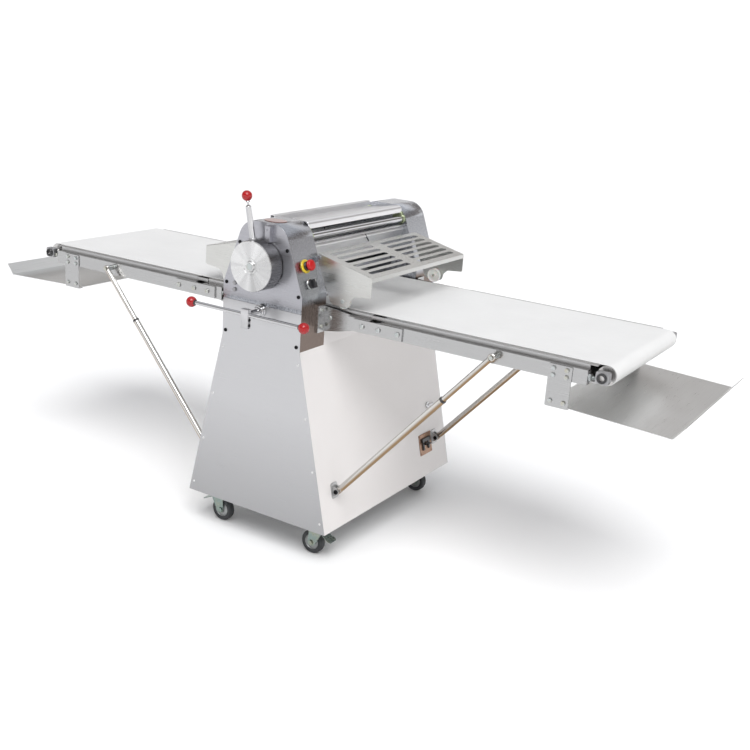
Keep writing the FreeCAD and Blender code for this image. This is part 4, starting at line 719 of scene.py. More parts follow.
def make_end_fittings():
    """Belt tensioners: an axle block, a threaded rod and its nuts at the end of each rail."""
    half, rise, depth = 0.018, 0.016, 0.018
    stop_back, stop_wall, rod_reach = 0.038, 0.006, 0.034
    pitch, crest, root = 0.0015, 0.005, 0.0042
    for side, sign in SIDES.items():
        body = f"table_{side}"
        axle = joint_place(f"end_roller_{side}_spin")
        near = low(f"table_frame_{side}").y
        rail_low, rail_top = low(f"table_frame_{side}").z, high(f"table_frame_{side}").z
        rail_end = low(f"end_fittings_{side}").x if sign < 0 else high(f"end_fittings_{side}").x
        end_x = abs(rail_end) - half
        blocks = Piece(f"axle_blocks_{side}", CAST_GREY, body)
        outline = rounded(rectangle(end_x - half, axle.z - rise, end_x + half, axle.z + rise), 0.006)
        sheet_panel(blocks, [outline, circle(end_x, axle.z, 0.0082)], near, near + depth, 0.001)
        stop_x = end_x - stop_back
        blocks.block((stop_x - stop_wall, near + 0.003, rail_low + 0.003),
                     (stop_x, near + 0.022, rail_top - 0.003))
        blocks.mirrored("y").flip(sign).done(f"end_fittings_{side}", slot="cast_grey")
        rods = Piece(f"tension_screws_{side}", ZINC, body)
        middle_y, middle_z = near + 0.012, (rail_top + rail_low) / 2
        start, stop = stop_x - rod_reach, end_x - half
        thread = [(0, 0), (0.0045, 0)]
        for k in range(int((stop - start) / pitch)):
            thread += [(crest, pitch * (k + 0.3)), (root, pitch * (k + 0.8))]
        thread += [(root, stop - start), (0, stop - start)]
        rods.turned(thread, aim((start, middle_y, middle_z), ALONG), 18)
        rods.screw((stop_x, middle_y, middle_z), ALONG, 0.0104, 0.008, "hex")
        rods.turned([(0.0052, 0), (0.0088, 0), (0.0088, 0.0014), (0.0052, 0.0014)],
                    aim((stop_x - 0.0015, middle_y, middle_z), ALONG), 24, closed=True)
        rods.mirrored("y").flip(sign).done(slot="zinc")
        caps = Piece(f"axle_caps_{side}", BLACK_PLASTIC, body)
        caps.turned([(0.0083, 0.0002), (0.0135, 0.0002), (0.0135, 0.004), (0.0122, 0.0058), (0.0083, 0.006)],
                    aim((end_x, near, axle.z), OUT), 36, closed=True)
        caps.mirrored("y").flip(sign).done(slot="black_plastic")


def make_trays():
    """Each end tray: a folded sheet on two hanger plates."""
    wall, width, sheet, foot_lip, screw_inset = 0.003, 0.065, 0.0015, 0.01, 0.014
    for side, sign in SIDES.items():
        node, body, rail = f"tray_{side}", f"table_{side}", f"table_frame_{side}"
        box_low, box_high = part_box(node)
        start, reach = sorted((abs(box_low.x), abs(box_high.x)))
        foot, top = box_low.z, high(rail).z - 0.001
        near = low(rail).y - 0.0003
        tray = Piece(f"tray_sheet_{side}", SATIN_STEEL, body)
        line = [(start, foot + 0.0138), (start + width, foot + 0.0138), (reach - 0.0275, foot + 0.0015),
                (reach - 0.0012, foot + 0.0358)]
        tray.folded(rounded(line, 0.006, 5, closed=False), sheet, near + 0.0004, -near - 0.0004)
        tray.flip(sign).done(node, slot="stainless_satin")
        hangers = Piece(f"tray_hangers_{side}", RAIL_STEEL, body)
        outline = rounded(rectangle(start, foot + foot_lip, start + width, top), 0.004)
        sheet_panel(hangers, [outline], near - wall, near)
        hangers.block((start, near, foot + foot_lip), (start + width, near + 0.014, foot + foot_lip + wall))
        hangers.mirrored("y").flip(sign).done(slot="stainless_satin")
        screws = Piece(f"tray_screws_{side}", ZINC, body)
        for x in (start + screw_inset, start + width - screw_inset):
            for z in (top - 0.011, low(rail).z + 0.009, foot + 0.026):
                screws.screw((x, near - wall, z), OUT, 0.0064, 0.0045, "hex")
        screws.mirrored("y").flip(sign).done(slot="zinc")


def make_link_screws():
    """Heads on the link plates and brackets, over the plain ones of the frame."""
    fold = joint_place("table_right_fold")
    head_rise, plate_stack, bracket_wall, flange = 0.0031, 0.0053, 0.012, 0.006
    plate_face = low("table_frame_right").y - plate_stack
    bracket_face = -SPAN - bracket_wall
    screws = Piece("link_screws", ZINC)
    for x in (fold.x - 0.054, fold.x, fold.x + 0.063):
        screws.screw((x, plate_face - head_rise, fold.z), OUT, 0.0073, 0.0018, "dish")
    for x in (0.170, 0.238):
        screws.screw((x, bracket_face - head_rise, fold.z), OUT, 0.0063, 0.0018, "dish")
    for z in (fold.z - 0.026, fold.z + 0.022):
        screws.screw((HEAD_HALF + flange, -SPAN - 0.026, z), ALONG, 0.006, 0.004, "hex")
    screws.mirrored("y", "x").done(slot="zinc")


# ---------------------------------------------------------------- struts
def make_struts():
    """Telescopic struts: flattened tube with a bush at its mouth, and a rod with an eye and its bolt."""
    eye, pin, tube_radius, rod_radius = 0.010, 0.004, 0.010, 0.008
    flat_half, flat_wall, eye_half = 0.0095, 0.013, 0.004
    tube_short, rod_start = 0.202, 0.168
    for side, sign in SIDES.items():
        foot = joint_place(f"strut_{side}_swing")
        near_y = low(f"strut_tubes_{side}").y + tube_radius
        rods_low, rods_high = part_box(f"strut_rods_{side}")
        inset = eye + 0.001
        head = Vector((max(abs(rods_low.x), abs(rods_high.x)) - inset, near_y, rods_high.z - inset))
        start = Vector((abs(foot.x), near_y, foot.z))
        length, along = (head - start).length, (head - start).normalized()
        tube_end = length - tube_short
        tubes = Piece(f"strut_tubes_chrome_{side}", PAINTED_REFLECTION_CHROME, f"strut_tube_{side}")
        tubes.tube(start + along * 0.016, start + along * tube_end, tube_radius, 0.0083, 0.0012)
        tilt = Matrix.Translation(start) @ Matrix.Rotation(-math.atan2(along.z, along.x), 4, "Y") @ \
            Matrix.Translation((0, flat_wall / 2, 0)) @ aim((0, 0, 0), OUT)
        flat = [(-flat_half, -flat_half), (0.008, -flat_half), (0.03, -0.0085), (0.03, 0.0085),
                (0.008, flat_half), (-flat_half, flat_half)]
        flat = rounded(flat, [flat_half, 0.004, 0.003, 0.003, 0.004, flat_half], 6)
        tubes.plate([flat, circle(0, 0, pin + 0.0003)], flat_wall, tilt, 0.002)
        tubes.mirrored("y").flip(sign).done(f"strut_tubes_{side}", slot="chrome")
        collars = Piece(f"strut_bushes_{side}", BLACK_PLASTIC, f"strut_tube_{side}")
        collars.tube(start + along * (tube_end - 0.002), start + along * (tube_end + 0.005), 0.0106, 0.0084,
                     0.001)
        collars.mirrored("y").flip(sign).done(slot="black_plastic")
        rods = Piece(f"strut_rods_chrome_{side}", PAINTED_REFLECTION_CHROME, f"strut_rod_{side}")
        rods.rod(start + along * rod_start, start + along * (length - 0.008), rod_radius, 0.001)
        rods.turned([(0, 0), (0.0095, 0), (0.011, 0.0015), (0.011, 0.0065), (0.0095, 0.008), (0, 0.008)],
                    aim(head - OUT * eye_half, OUT))
        rods.mirrored("y").flip(sign).done(f"strut_rods_{side}", slot="chrome")
        bolts = Piece(f"strut_bolts_{side}", ZINC, f"strut_rod_{side}")
        bolts.screw(head + OUT * eye_half, OUT, 0.0065, 0.005, "hex")
        rail_face = low(f"table_frame_{side}").y - 0.0003
        bolts.rod(head - OUT * eye_half, (head.x, rail_face, head.z), 0.008)
        bolts.mirrored("y").flip(sign).done(slot="zinc")


def make_strut_lugs():
    """Forked lugs on the stand's sides, with the pin of each strut."""
    foot = joint_place("strut_right_swing")
    ear_in, ear_wall, pin_radius = 0.0068, 0.004, 0.0038
    panel_x = stand_side(foot.z)
    near_y = low("strut_tubes_right").y + 0.010
    lugs = Piece("strut_lug_plates", LUG_WHITE)
    backing = rounded(rectangle(-0.016, -0.024, 0.016, 0.024), 0.007, 6)
    lugs.plate([backing], 0.003, aim((panel_x, near_y, foot.z), STAND_OUT), 0.0008)
    ear = rounded([(panel_x + 0.004, foot.z - 0.016), (foot.x, foot.z - 0.0125), (foot.x + 0.0115, foot.z),
                   (foot.x, foot.z + 0.0125), (panel_x - 0.003, foot.z + 0.016)],
                  [0.002, 0.012, 0.009, 0.012, 0.002], 6)
    for y in (near_y - ear_in - ear_wall, near_y + ear_in):
        sheet_panel(lugs, [ear, circle(foot.x, foot.z, 0.0041)], y, y + ear_wall, 0.0009)
    lugs.mirrored("y", "x").done("strut_lugs", slot="zinc")
    pins = Piece("strut_lug_screws", BLACK_OXIDE)
    head = Vector((foot.x, near_y - ear_in - ear_wall, foot.z))
    tail = head - OUT * 2 * (ear_in + ear_wall)
    pins.screw(head, OUT, 0.0072, 0.004, "socket")
    pins.rod(head, tail, pin_radius)
    pins.screw(tail, -OUT, 0.0072, 0.003, "hex")
    pins.mirrored("y", "x").done(slot="fasteners")


# ---------------------------------------------------------------- guards
def make_guards():
    """Slotted finger guards with folded edges, on lobed end walls."""
    sheet, rise, fall, heel, lip_drop = 0.002, 0.012, 0.043, 0.004, 0.014
    slot_count, first_slot, slot_pitch = 6, 0.020, 0.027
    slot_width, slot_margin, slot_gap = 0.0162, 0.028, 0.024
    half = high("guard_right").y - 0.003
    for side, sign in SIDES.items():
        pivot = joint_place(f"guard_{side}_lift")
        px, pz = abs(pivot.x), pivot.z
        outer = max(abs(low(f"guard_{side}").x), abs(high(f"guard_{side}").x))
        belt_top = high(f"belt_{side}").z
        top = pz + rise
        slope = Vector((outer - px, 0, -fall))
        length, slope = slope.length, slope.normalized()
        normal = Vector((-slope.z, 0, slope.x))
        guard = Piece(f"guard_sheet_{side}", GUARD_STEEL, f"guard_{side}_body")
        outline = rectangle(-heel, -half + sheet, length - sheet, half - sheet)
        slots = []
        for k in range(slot_count):
            x = (first_slot + slot_pitch * k) * length / (outer - px)
            slots.append(long_hole(x, -half + slot_margin, -slot_gap, slot_width))
            slots.append(long_hole(x, slot_gap, half - slot_margin, slot_width))
        place = aim(Vector((px, 0, top)) - normal * sheet, normal, slope)
        guard.plate([outline] + slots, sheet, place, 0.0005)
        corner = Vector((outer, 0, top - fall)) - slope * sheet - normal * sheet
        ends = []
        for y in (-half + sheet, half - sheet):
            ends.append(corner + Vector((0, y, 0)))
            start = Vector((px, y, top)) - slope * heel - normal * sheet
            guard.rod(start, ends[-1], sheet, 0.0003, 24)
        guard.rod(*ends, sheet, 0.0003, 24)
        guard.block((corner.x, -half + sheet, corner.z - lip_drop + sheet),
                    (corner.x + sheet, half - sheet, corner.z), 0.0005)
        disc_x, disc_z = px + 0.087, belt_top + 0.0223
        skirt, lobe = belt_top + 0.048, belt_top + 0.007
        wall = [(px - heel, top + 0.0009 - sheet), (px, top - sheet), (outer, top - fall - sheet),
                (outer, skirt), (disc_x + 0.043, skirt - 0.005), (disc_x + 0.029, disc_z + 0.008),
                (disc_x + 0.024, lobe), (disc_x - 0.040, lobe), (HEAD_HALF + 0.014, SHOULDER),
                (px - heel, pz - 0.014)]
        wall = rounded(wall, [0.001, 0, 0.001, 0.006, 0.014, 0.01, 0.018, 0.02, 0.03, 0.006], 6)
        for y in (-half, half - sheet):
            sheet_panel(guard, [wall, circle(px, pz, 0.0032)], y, y + sheet, 0.0005)
        guard.flip(sign).done(f"guard_{side}", slot="stainless_satin")
        axles = Piece(f"guard_axles_{side}", ZINC, f"guard_{side}_body")
        inner = -half + sheet
        axles.rod((disc_x, inner, disc_z), (disc_x, inner + 0.018, disc_z), 0.004)
        axles.screw((disc_x, -half, disc_z), OUT, 0.006, 0.003, "dish")
        axles.mirrored("y").flip(sign).done(slot="zinc")
        discs = Piece(f"guard_rollers_{side}", NYLON, f"guard_discs_{side}_body")
        outline = [(0.0041, 0.001), (0.0075, 0), (0.0082, 0.002), (0.017, 0.0025), (0.0195, 0.0008),
                   (0.0212, 0.0004), (0.022, 0.002), (0.022, 0.012), (0.0212, 0.0136), (0.0195, 0.0132),
                   (0.017, 0.0115), (0.0082, 0.012), (0.0075, 0.014), (0.0041, 0.013)]
        discs.turned(outline, aim((disc_x, inner + 0.016, disc_z), OUT), 64, closed=True)
        discs.mirrored("y").flip(sign).done(f"guard_discs_{side}", slot="nylon")


# ---------------------------------------------------------------- head
def make_hood():
    """The tray-topped cover between the housings, folded from one sheet."""
    half, top, rear, skirt = high("roller_hood").x, HEAD_TOP, -HOOD_HALF, HEAD_TOP - 0.022
    line = [(rear + 0.001, skirt), (rear + 0.001, top - 0.001), (rear + 0.015, top - 0.001),
            (rear + 0.015, top - 0.019), (half - 0.014, top - 0.0016), (half - 0.004, top - 0.006),
            (half - 0.001, skirt)]
    hood = Piece("roller_hood_sheet", HOOD_STEEL)
    hood.folded(rounded(line, [0, 0.003, 0.003, 0.003, 0.02, 0.012, 0], 8, closed=False), 0.002, -SPAN, SPAN)
    hood.done("roller_hood", slot="stainless_satin")


def make_badge():
    """A blank oval plate on the crown of the front housing."""
    badge = Piece("blank_badge", BADGE)
    half_long, half_wide, thickness = 0.036, 0.027, 0.0012
    oval = [Vector((half_long * point.x, half_wide * point.y)) for point in circle(0, 0, 1, 48)]
    badge.plate([oval], thickness, Matrix.Translation((0.004, FRONT + 0.047, HEAD_TOP)), 0.0004)
    badge.done(slot="breaker")


def make_scrapers():
    """Tie bars, scraper rods and blades along both sides of the rollers."""
    bars = Piece("scraper_tie_bars", CHROME)
    bar_x, bar_z = HOOD_HALF - 0.002, HEAD_TOP - 0.044
    rod_x, rod_z = HOOD_HALF + 0.005, HEAD_TOP - 0.064
    bars.rod((bar_x, -SPAN, bar_z), (bar_x, SPAN, bar_z), 0.011)
    bars.rod((rod_x, -SPAN, rod_z), (rod_x, SPAN, rod_z), 0.0045)
    bars.mirrored("x").done("scraper_bars", slot="chrome")
    blades = Piece("scraper_blades", HOOD_STEEL)
    line = [(HOOD_HALF + 0.006, HEAD_TOP - 0.069), (HOOD_HALF + 0.009, HEAD_TOP - 0.074),
            (high("upper_roller").x + 0.013, HEAD_TOP - 0.146)]
    blades.folded(rounded(line, 0.004, 5, closed=False), 0.002, -SPAN, SPAN)
    blades.mirrored("x").done(slot="stainless_satin")
    links = Piece("scraper_links", BLACK_OXIDE)
    links.rod((HOOD_HALF + 0.006, 0.03, HEAD_TOP - 0.066),
              (HOOD_HALF + 0.012, 0.045, HEAD_TOP - 0.09), 0.0018)
    links.mirrored("x").done(slot="fasteners")
    ends = Piece("tie_bar_bearings", BEARING_GREEN)
    outline = [(0.0112, 0), (0.0145, 0), (0.0152, 0.0008), (0.0152, 0.006), (0.0142, 0.0072),
               (0.0125, 0.0072), (0.0112, 0.006)]
    ends.turned(outline, aim((bar_x, SPAN, bar_z), OUT), 40, closed=True)
    ends.turned([(0, 0), (0.017, 0), (0.018, 0.001), (0.018, 0.007), (0.0165, 0.0085), (0.006, 0.0085),
                 (0.005, 0.006), (0, 0.006)], aim((bar_x - 0.012, SPAN, bar_z + 0.011), OUT), 40)
    ends.mirrored("x", "y").done(slot="cast_grey")


def make_dial():
    """The gap dial: a faced aluminium drum with a dark rim of painted shade, a bolt, and its hub."""
    centre, radius, depth = DIAL_CENTRE, DIAL_RADIUS, DIAL_BACK - DIAL_FRONT
    place = aim((centre.x, DIAL_BACK, centre.z), OUT)
    drum = Piece("gap_dial_drum", DIAL, "gap_handle")
    outline = [(0, 0), (radius - 0.003, 0), (radius - 0.0008, 0.0008), (radius, 0.003),
               (radius, depth - 0.0035), (radius - 0.001, depth - 0.001), (radius - 0.0035, depth),
               (0.024, depth), (0.0225, depth - 0.0012), (0.0165, depth - 0.0012), (0.0155, depth),
               (0.0145, depth + 0.0035), (0.0135, depth + 0.0045), (0, depth + 0.0045)]
    drum.turned(outline, place, 120)
    drum.done("gap_dial", slot="turned_aluminium")
    # painted shade: a dark sleeve over the side of the drum
    rim = Piece("gap_dial_rim", DIAL_RIM_SHADE, "gap_handle")
    rim.turned([(radius - 0.002, 0.0004), (radius + 0.0001, 0.002), (radius + 0.0001, depth - 0.0036),
                (radius - 0.002, depth - 0.0036)], place, 120, closed=True)
    rim.done(slot="turned_aluminium")
    hub = Piece("gap_dial_bolt", ZINC, "gap_handle")
    hub.turned([(0, 0), (0.0105, 0), (0.0105, 0.0007), (0.0095, 0.001), (0, 0.001)],
               aim((centre.x, DIAL_FRONT - 0.0045, centre.z), OUT), 40)
    hub.screw((centre.x, DIAL_FRONT - 0.0050, centre.z), OUT, 0.0058, 0.0009, "dish")
    hub.done(slot="zinc")


def make_gap_lever():
    """The dial's leaning handle: a tube in a collar, and the index pin with its ball."""
    lean = math.radians(12)
    along = Vector((-math.sin(lean), 0, math.cos(lean)))
    middle = Vector((DIAL_CENTRE.x, (DIAL_FRONT + DIAL_BACK) / 2, DIAL_CENTRE.z))
    lever = Piece("gap_lever_tube", CHROME, "gap_handle")
    lever.turned([(0.0032, 0), (0.0085, 0), (0.0085, 0.125), (0.0079, 0.1268), (0.0065, 0.1282),
                  (0.0032, 0.1306)],
                 aim(middle + along * 0.040, along), 56, closed=True)
    lever.done("gap_lever", slot="chrome")
    seat = Piece("gap_lever_collar", CAST_GREY, "gap_handle")
    seat.turned([(0.0088, 0), (0.0128, 0), (0.0128, 0.003), (0.0115, 0.0052), (0.0088, 0.0052)],
                aim(middle + along * (DIAL_RADIUS - 0.0005), along), 40, closed=True)
    seat.done(slot="cast_grey")
    knob = Piece("gap_knob_ball", RED_GLOSS, "gap_knob_body")
    knob.ball(middle + along * 0.196, 0.015, along, 0.0008)
    knob.done("gap_knob", slot="red_plastic")
    pin = Piece("gap_knob_pin", CHROME, "gap_knob_body")
    pin.rod(middle + along * 0.08, middle + along * 0.183, 0.0029)
    pin.turned([(0, 0), (0.0055, 0), (0.0062, 0.0012), (0.0048, 0.005), (0, 0.005)],
               aim(middle + along * 0.178, along), 32)
    pin.done(slot="chrome")


def make_gap_stop():
    """The block that the handle comes to rest against."""
    proud = FRONT - 0.016
    stop = Piece("gap_stop_block", PLATE_STEEL)
    stop.block((0.015, proud, HEAD_TOP - 0.052), (0.033, FRONT, HEAD_TOP - 0.006), 0.0012)
    for fall in (0.017, 0.041):
        stop.screw((0.024, proud, HEAD_TOP - fall), OUT, 0.0035, 0.002, "dish")
    stop.done(slot="stainless_brushed")


def make_reversing_lever():
    """A long bar through a clamp on a turned boss, with a ball at each end."""
    pivot = joint_place("reversing_lever_tilt")
    y, z = pivot.y, pivot.z
    body = "reversing_lever_body"
    reach, ball, half = 0.204, 0.016, 0.008
    arm = Piece("reversing_rod", CHROME, body)
    arm.rod((-reach + half, y, z), (reach - half, y, z), 0.006, 0.0006)
    arm.turned([(0, 0), (half, 0), (half, 0.054), (0, 0.054)], aim((0, y + half, z), -OUT), 36)
    arm.done("reversing_lever", slot="chrome")
    clamp = Piece("reversing_clamp", CLAMP_GREY, body)
    clamp.block((-0.013, y - half, z - 0.040), (0.013, y + half, z + 0.017), 0.0022, segments=3)
    clamp.done(slot="cast_grey")
    screws = Piece("reversing_clamp_screws", BLACK_OXIDE, body)
    for fall in (0.014, 0.030):
        screws.screw((0.013, y, z - fall), ALONG, 0.0045, 0.003)
    screws.block((-0.0133, y - 0.0012, z - 0.0395), (0.0133, y + 0.0012, z - 0.005), 0.0003)
    screws.done(slot="fasteners")
    boss = Piece("reversing_boss", CHROME, body)
    outline = [(0, 0.0003), (0.019, 0.0003), (0.019, 0.006), (0.0178, 0.0072), (0.0165, 0.0074),
               (0.0165, 0.013), (0.0148, 0.0155), (0.0125, 0.016), (0.0082, 0.016), (0, 0.016)]
    boss.turned(outline, aim((0, FRONT, z), OUT), 64)
    boss.done(slot="chrome")
    balls = Piece("reversing_knobs", RED_GLOSS, body)
    balls.ball((reach, y, z), ball, ALONG, 0.001)
    balls.mirrored("x").done(slot="red_plastic")
    rims = Piece("reversing_ferrules", BLACK_PLASTIC, body)
    rims.turned([(0.0061, 0), (0.0078, 0), (0.0088, 0.0035), (0.0061, 0.0035)],
                aim((reach - 0.0165, y, z), ALONG), 32, closed=True)
    rims.mirrored("x").done(slot="black_plastic")


# ---------------------------------------------------------------- controls
def middle_depth(node):
    return (low(node).y + high(node).y) / 2


def make_stop_button():
    """The stop button's yellow ring, black collar and red mushroom, on the head's slope."""
    stop_z = 0.885
    place = aim((head_side(stop_z), middle_depth("estop_ring"), stop_z), HEAD_OUT)
    ring = Piece("estop_yellow_ring", YELLOW)
    ring.turned([(0.0132, 0), (0.0196, 0), (0.020, 0.0006), (0.020, 0.0022), (0.0193, 0.003),
                 (0.0132, 0.003)],
                place, 64, closed=True)
    ring.done("estop_ring", slot="yellow_plastic")
    collar = Piece("estop_collar", BLACK_PLASTIC)
    collar.turned([(0.0062, 0), (0.0130, 0), (0.0130, 0.0078), (0.012, 0.009), (0.0062, 0.009)], place, 48,
                  closed=True)
    collar.done(slot="black_plastic")
    button = Piece("estop_mushroom", RED_BUTTON, "estop_button_body")
    button.turned([(0, 0.0085), (0.0058, 0.0085), (0.0058, 0.016), (0.0150, 0.016), (0.0160, 0.0172),
                   (0.0160, 0.0215), (0.0153, 0.0242), (0.0132, 0.0262), (0.009, 0.0274), (0.0045, 0.0279),
                   (0, 0.028)], place, 64)
    button.done("estop_button", slot="red_plastic")


def make_selector():
    """The winged selector knob, its mark and its bezel, below the stop button."""
    knob_z = 0.836
    place = aim((head_side(knob_z), middle_depth("selector_knob"), knob_z), HEAD_OUT)
    knob = Piece("selector_knob_cap", BLACK_PLASTIC, "selector_body")
    knob.turned([(0, 0.0004), (0.014, 0.0004), (0.014, 0.0055), (0.0128, 0.0076), (0, 0.008)], place, 48)
    knob.block((-0.004, -0.0128, 0.007), (0.004, 0.0128, 0.020), 0.0016, place, 3)
    knob.done("selector_knob", slot="black_plastic")
    mark = Piece("selector_mark", NYLON, "selector_body")
    mark.block((-0.0006, 0.004, 0.0196), (0.0006, 0.012, 0.0202), 0.0002, place)
    mark.done(slot="nylon")
    bezel = Piece("selector_bezel", ZINC)
    bezel.turned([(0.0146, 0), (0.0166, 0), (0.0166, 0.0012), (0.0155, 0.0022), (0.0146, 0.0022)], place, 48,
                 closed=True)
    bezel.done(slot="zinc")


def make_cam_lock():
    """The quarter-turn lock of the side panel: a turned boss and its flat key."""
    lock_z, lock_y, reach = 0.334, low("cam_lock").y + 0.011, 0.030
    place = aim((stand_side(lock_z), lock_y, lock_z), STAND_OUT)
    lock = Piece("cam_lock_body", CHROME, "cam_lock_body")
    lock.turned([(0, 0.0004), (0.011, 0.0004), (0.011, 0.003), (0.0098, 0.005), (0, 0.0052)], place, 48)
    key = rounded([(-0.003, 0), (0.003, 0), (0.0022, reach), (-0.0022, reach)], 0.002, 5)
    turn = Matrix.Rotation(-math.pi / 2, 4, "Z") if high("cam_lock").y - lock_y > 0.02 else Matrix.Identity(4)
    lock.plate([key], 0.0045, place @ turn @ Matrix.Translation((0, 0, 0.0048)), 0.001)
    lock.done("cam_lock", slot="chrome")


def make_breaker():
    """The breaker low on the stand: its mounting plate, case and tilting toggle."""
    plate_z, half_y, half_z, sheet = 0.212, 0.039, 0.036, 0.002
    place = aim((stand_side(plate_z), middle_depth("switch_plate"), plate_z), STAND_OUT)
    plate = Piece("switch_mount", BRONZE)
    plate.plate([rounded(rectangle(-half_y, -half_z, half_y, half_z), 0.003)], sheet, place, 0.0005)
    for y in (-0.033, 0.033):
        for z in (-0.030, 0.030):
            plate.screw(place @ Vector((y, z, sheet)), STAND_OUT, 0.003, 0.0016, "dish")
    plate.done("switch_plate", slot="breaker")
    breaker = Piece("breaker_case", BLACK_PLASTIC)
    breaker.block((-0.026, 0.008, sheet), (0.026, 0.021, 0.008), 0.001, place)
    for y in (-0.017, 0.017):
        breaker.block((y - 0.005, -0.020, sheet), (y + 0.005, 0.010, 0.0065), 0.001, place)
    breaker.done(slot="black_plastic")
    toggle = Piece("breaker_switch", BLACK_PLASTIC, "breaker_toggle_body")
    pivot_rise = 0.0085
    toggle.turned([(0, -0.011), (0.0035, -0.011), (0.004, -0.0102), (0.004, 0.0102), (0.0035, 0.011),
                   (0, 0.011)],
                  place @ Matrix.Translation((0, 0, pivot_rise)) @ Matrix.Rotation(math.pi / 2, 4, "Y"), 32)
    toggle.block((-0.010, -0.002, 0.0105), (0.010, 0.002, 0.021), 0.0009, place, 3)
    toggle.done("breaker_toggle", slot="black_plastic")


def make_fasteners():
    """Socket screws, rivets and hexagon heads on the front and rear sheets."""
    inset, drop, rivet_pitch = 0.012, 0.069, 0.156
    black = Piece("socket_screws", BLACK_OXIDE)
    for x, z in ((head_side(HEAD_TOP - drop), HEAD_TOP - drop), (HEAD_HALF, SHOULDER),
                 (HEAD_HALF, KINK + 0.014)):
        black.screw((x - inset, FRONT, z), OUT, 0.0055, 0.003)
    black.mirrored("x", "y").done("panel_screws", slot="fasteners")
    rivets = Piece("sheet_rivets", RIVET_WHITE)
    for z in [KINK - 0.039 - rivet_pitch * k for k in range(3)] + [FOOT + 0.032]:
        rivets.screw((stand_side(z) - inset, FRONT, z), OUT, 0.004, 0.0022, "rivet")
    rivets.mirrored("x", "y").done(slot="stainless_satin")
    hexes = Piece("stop_screws", CAST_GREY)
    stop_x, stop_heights = -0.100, (0.808, 0.788)
    for z in stop_heights:
        hexes.screw((stop_x, FRONT, z), OUT, 0.0066, 0.0042, "hex")
    hexes.done(slot="zinc")


# ---------------------------------------------------------------- casters and drive
def make_fork(name, braked):
    """One caster's race plate, bridge, fork sides and axle, and its brake pedal."""
    king = joint_place(f"caster_{name}_swivel")
    axle = joint_place(f"caster_{name}_roll")
    half, wall, race, bridge_half = 0.013, 0.003, 0.0105, 0.019
    top = high(f"caster_fork_{name}").z
    bridge = top - race
    toward = 1 if axle.x > king.x else -1
    fork = Piece(f"caster_frame_{name}", CASTER_ZINC, f"caster_fork_{name}_body")
    fork.turned([(0.0062, 0), (0.0235, 0), (0.024, -0.001), (0.0235, -0.0035), (0.0215, -0.005),
                 (0.0228, -0.0065), (0.0222, -0.009), (0.018, -race), (0.0062, -race)],
                aim((king.x, king.y, top), UP), 48, closed=True)
    fork.block((king.x - bridge_half, king.y - half - wall, bridge - wall),
               (king.x + bridge_half, king.y + half + wall, bridge + 0.0005), 0.0012)
    shape = rounded([(axle.x - toward * 0.012, axle.z - 0.010), (axle.x + toward * 0.011, axle.z - 0.010),
                     (axle.x + toward * 0.008, bridge), (king.x - toward * bridge_half, bridge)],
                    [0.011, 0.010, 0.003, 0.003], 6)
    for y in (king.y - half - wall, king.y + half):
        sheet_panel(fork, [shape], y, y + wall, 0.0007)
    for way in (-1, 1):
        fork.screw((axle.x, axle.y + way * (half + wall), axle.z), (0, way, 0), 0.0085, 0.0038, "hex")
    fork.rod((axle.x, axle.y - half, axle.z), (axle.x, axle.y + half, axle.z), 0.0048)
    if braked:
        pedal = rounded([(-0.014, 0), (0.014, 0), (0.020, 0.030), (0.015, 0.038), (-0.015, 0.038),
                         (-0.020, 0.030)], 0.005, 5)
        place = aim((king.x - toward * 0.012, king.y, bridge - 0.018), (-toward * 0.45, 0, 1), (0, toward, 0))
        fork.plate([pedal], 0.0025, place, 0.0008)
        fork.rod((king.x - toward * 0.014, king.y, bridge - 0.018),
                 (king.x - toward * 0.004, king.y, bridge + 0.001), 0.005)
    fork.done(f"caster_fork_{name}", slot="zinc")


def make_wheel(name):
    """One caster's tyre and hub, each turned from half an outline and its mirror image."""
    place = aim(joint_place(f"caster_{name}_roll"), OUT)
    body = f"caster_wheel_{name}_body"
    r, w = 0.0375, 0.012
    tyre = [(0.024, w - 0.002), (0.029, w), (r - 0.004, w), (r - 0.0012, w - 0.0022), (r, w - 0.006)]
    core = [(0.0051, w - 0.0005), (0.0105, w - 0.0005), (0.012, w - 0.003), (0.021, w - 0.005),
            (0.0238, w - 0.002), (0.0243, w - 0.003)]
    wheel = Piece(f"caster_tyre_{name}", TYRE, body)
    wheel.turned([(x, -y) for x, y in tyre] + tyre[::-1], place, 72, closed=True)
    wheel.done(f"caster_wheel_{name}", slot="tyre")
    hub = Piece(f"caster_hub_{name}", HUB_GREY, body)
    hub.turned([(x, -y) for x, y in core] + core[::-1], place, 48, closed=True)
    hub.done(slot="zinc")


def make_casters():
    """Swivel casters with a ball race, a bolted axle and a tyre; the front pair has brake pedals."""
    for end in ENDS:
        for side in SIDES:
            make_fork(f"{end}_{side}", braked=end == "front")
            make_wheel(f"{end}_{side}")


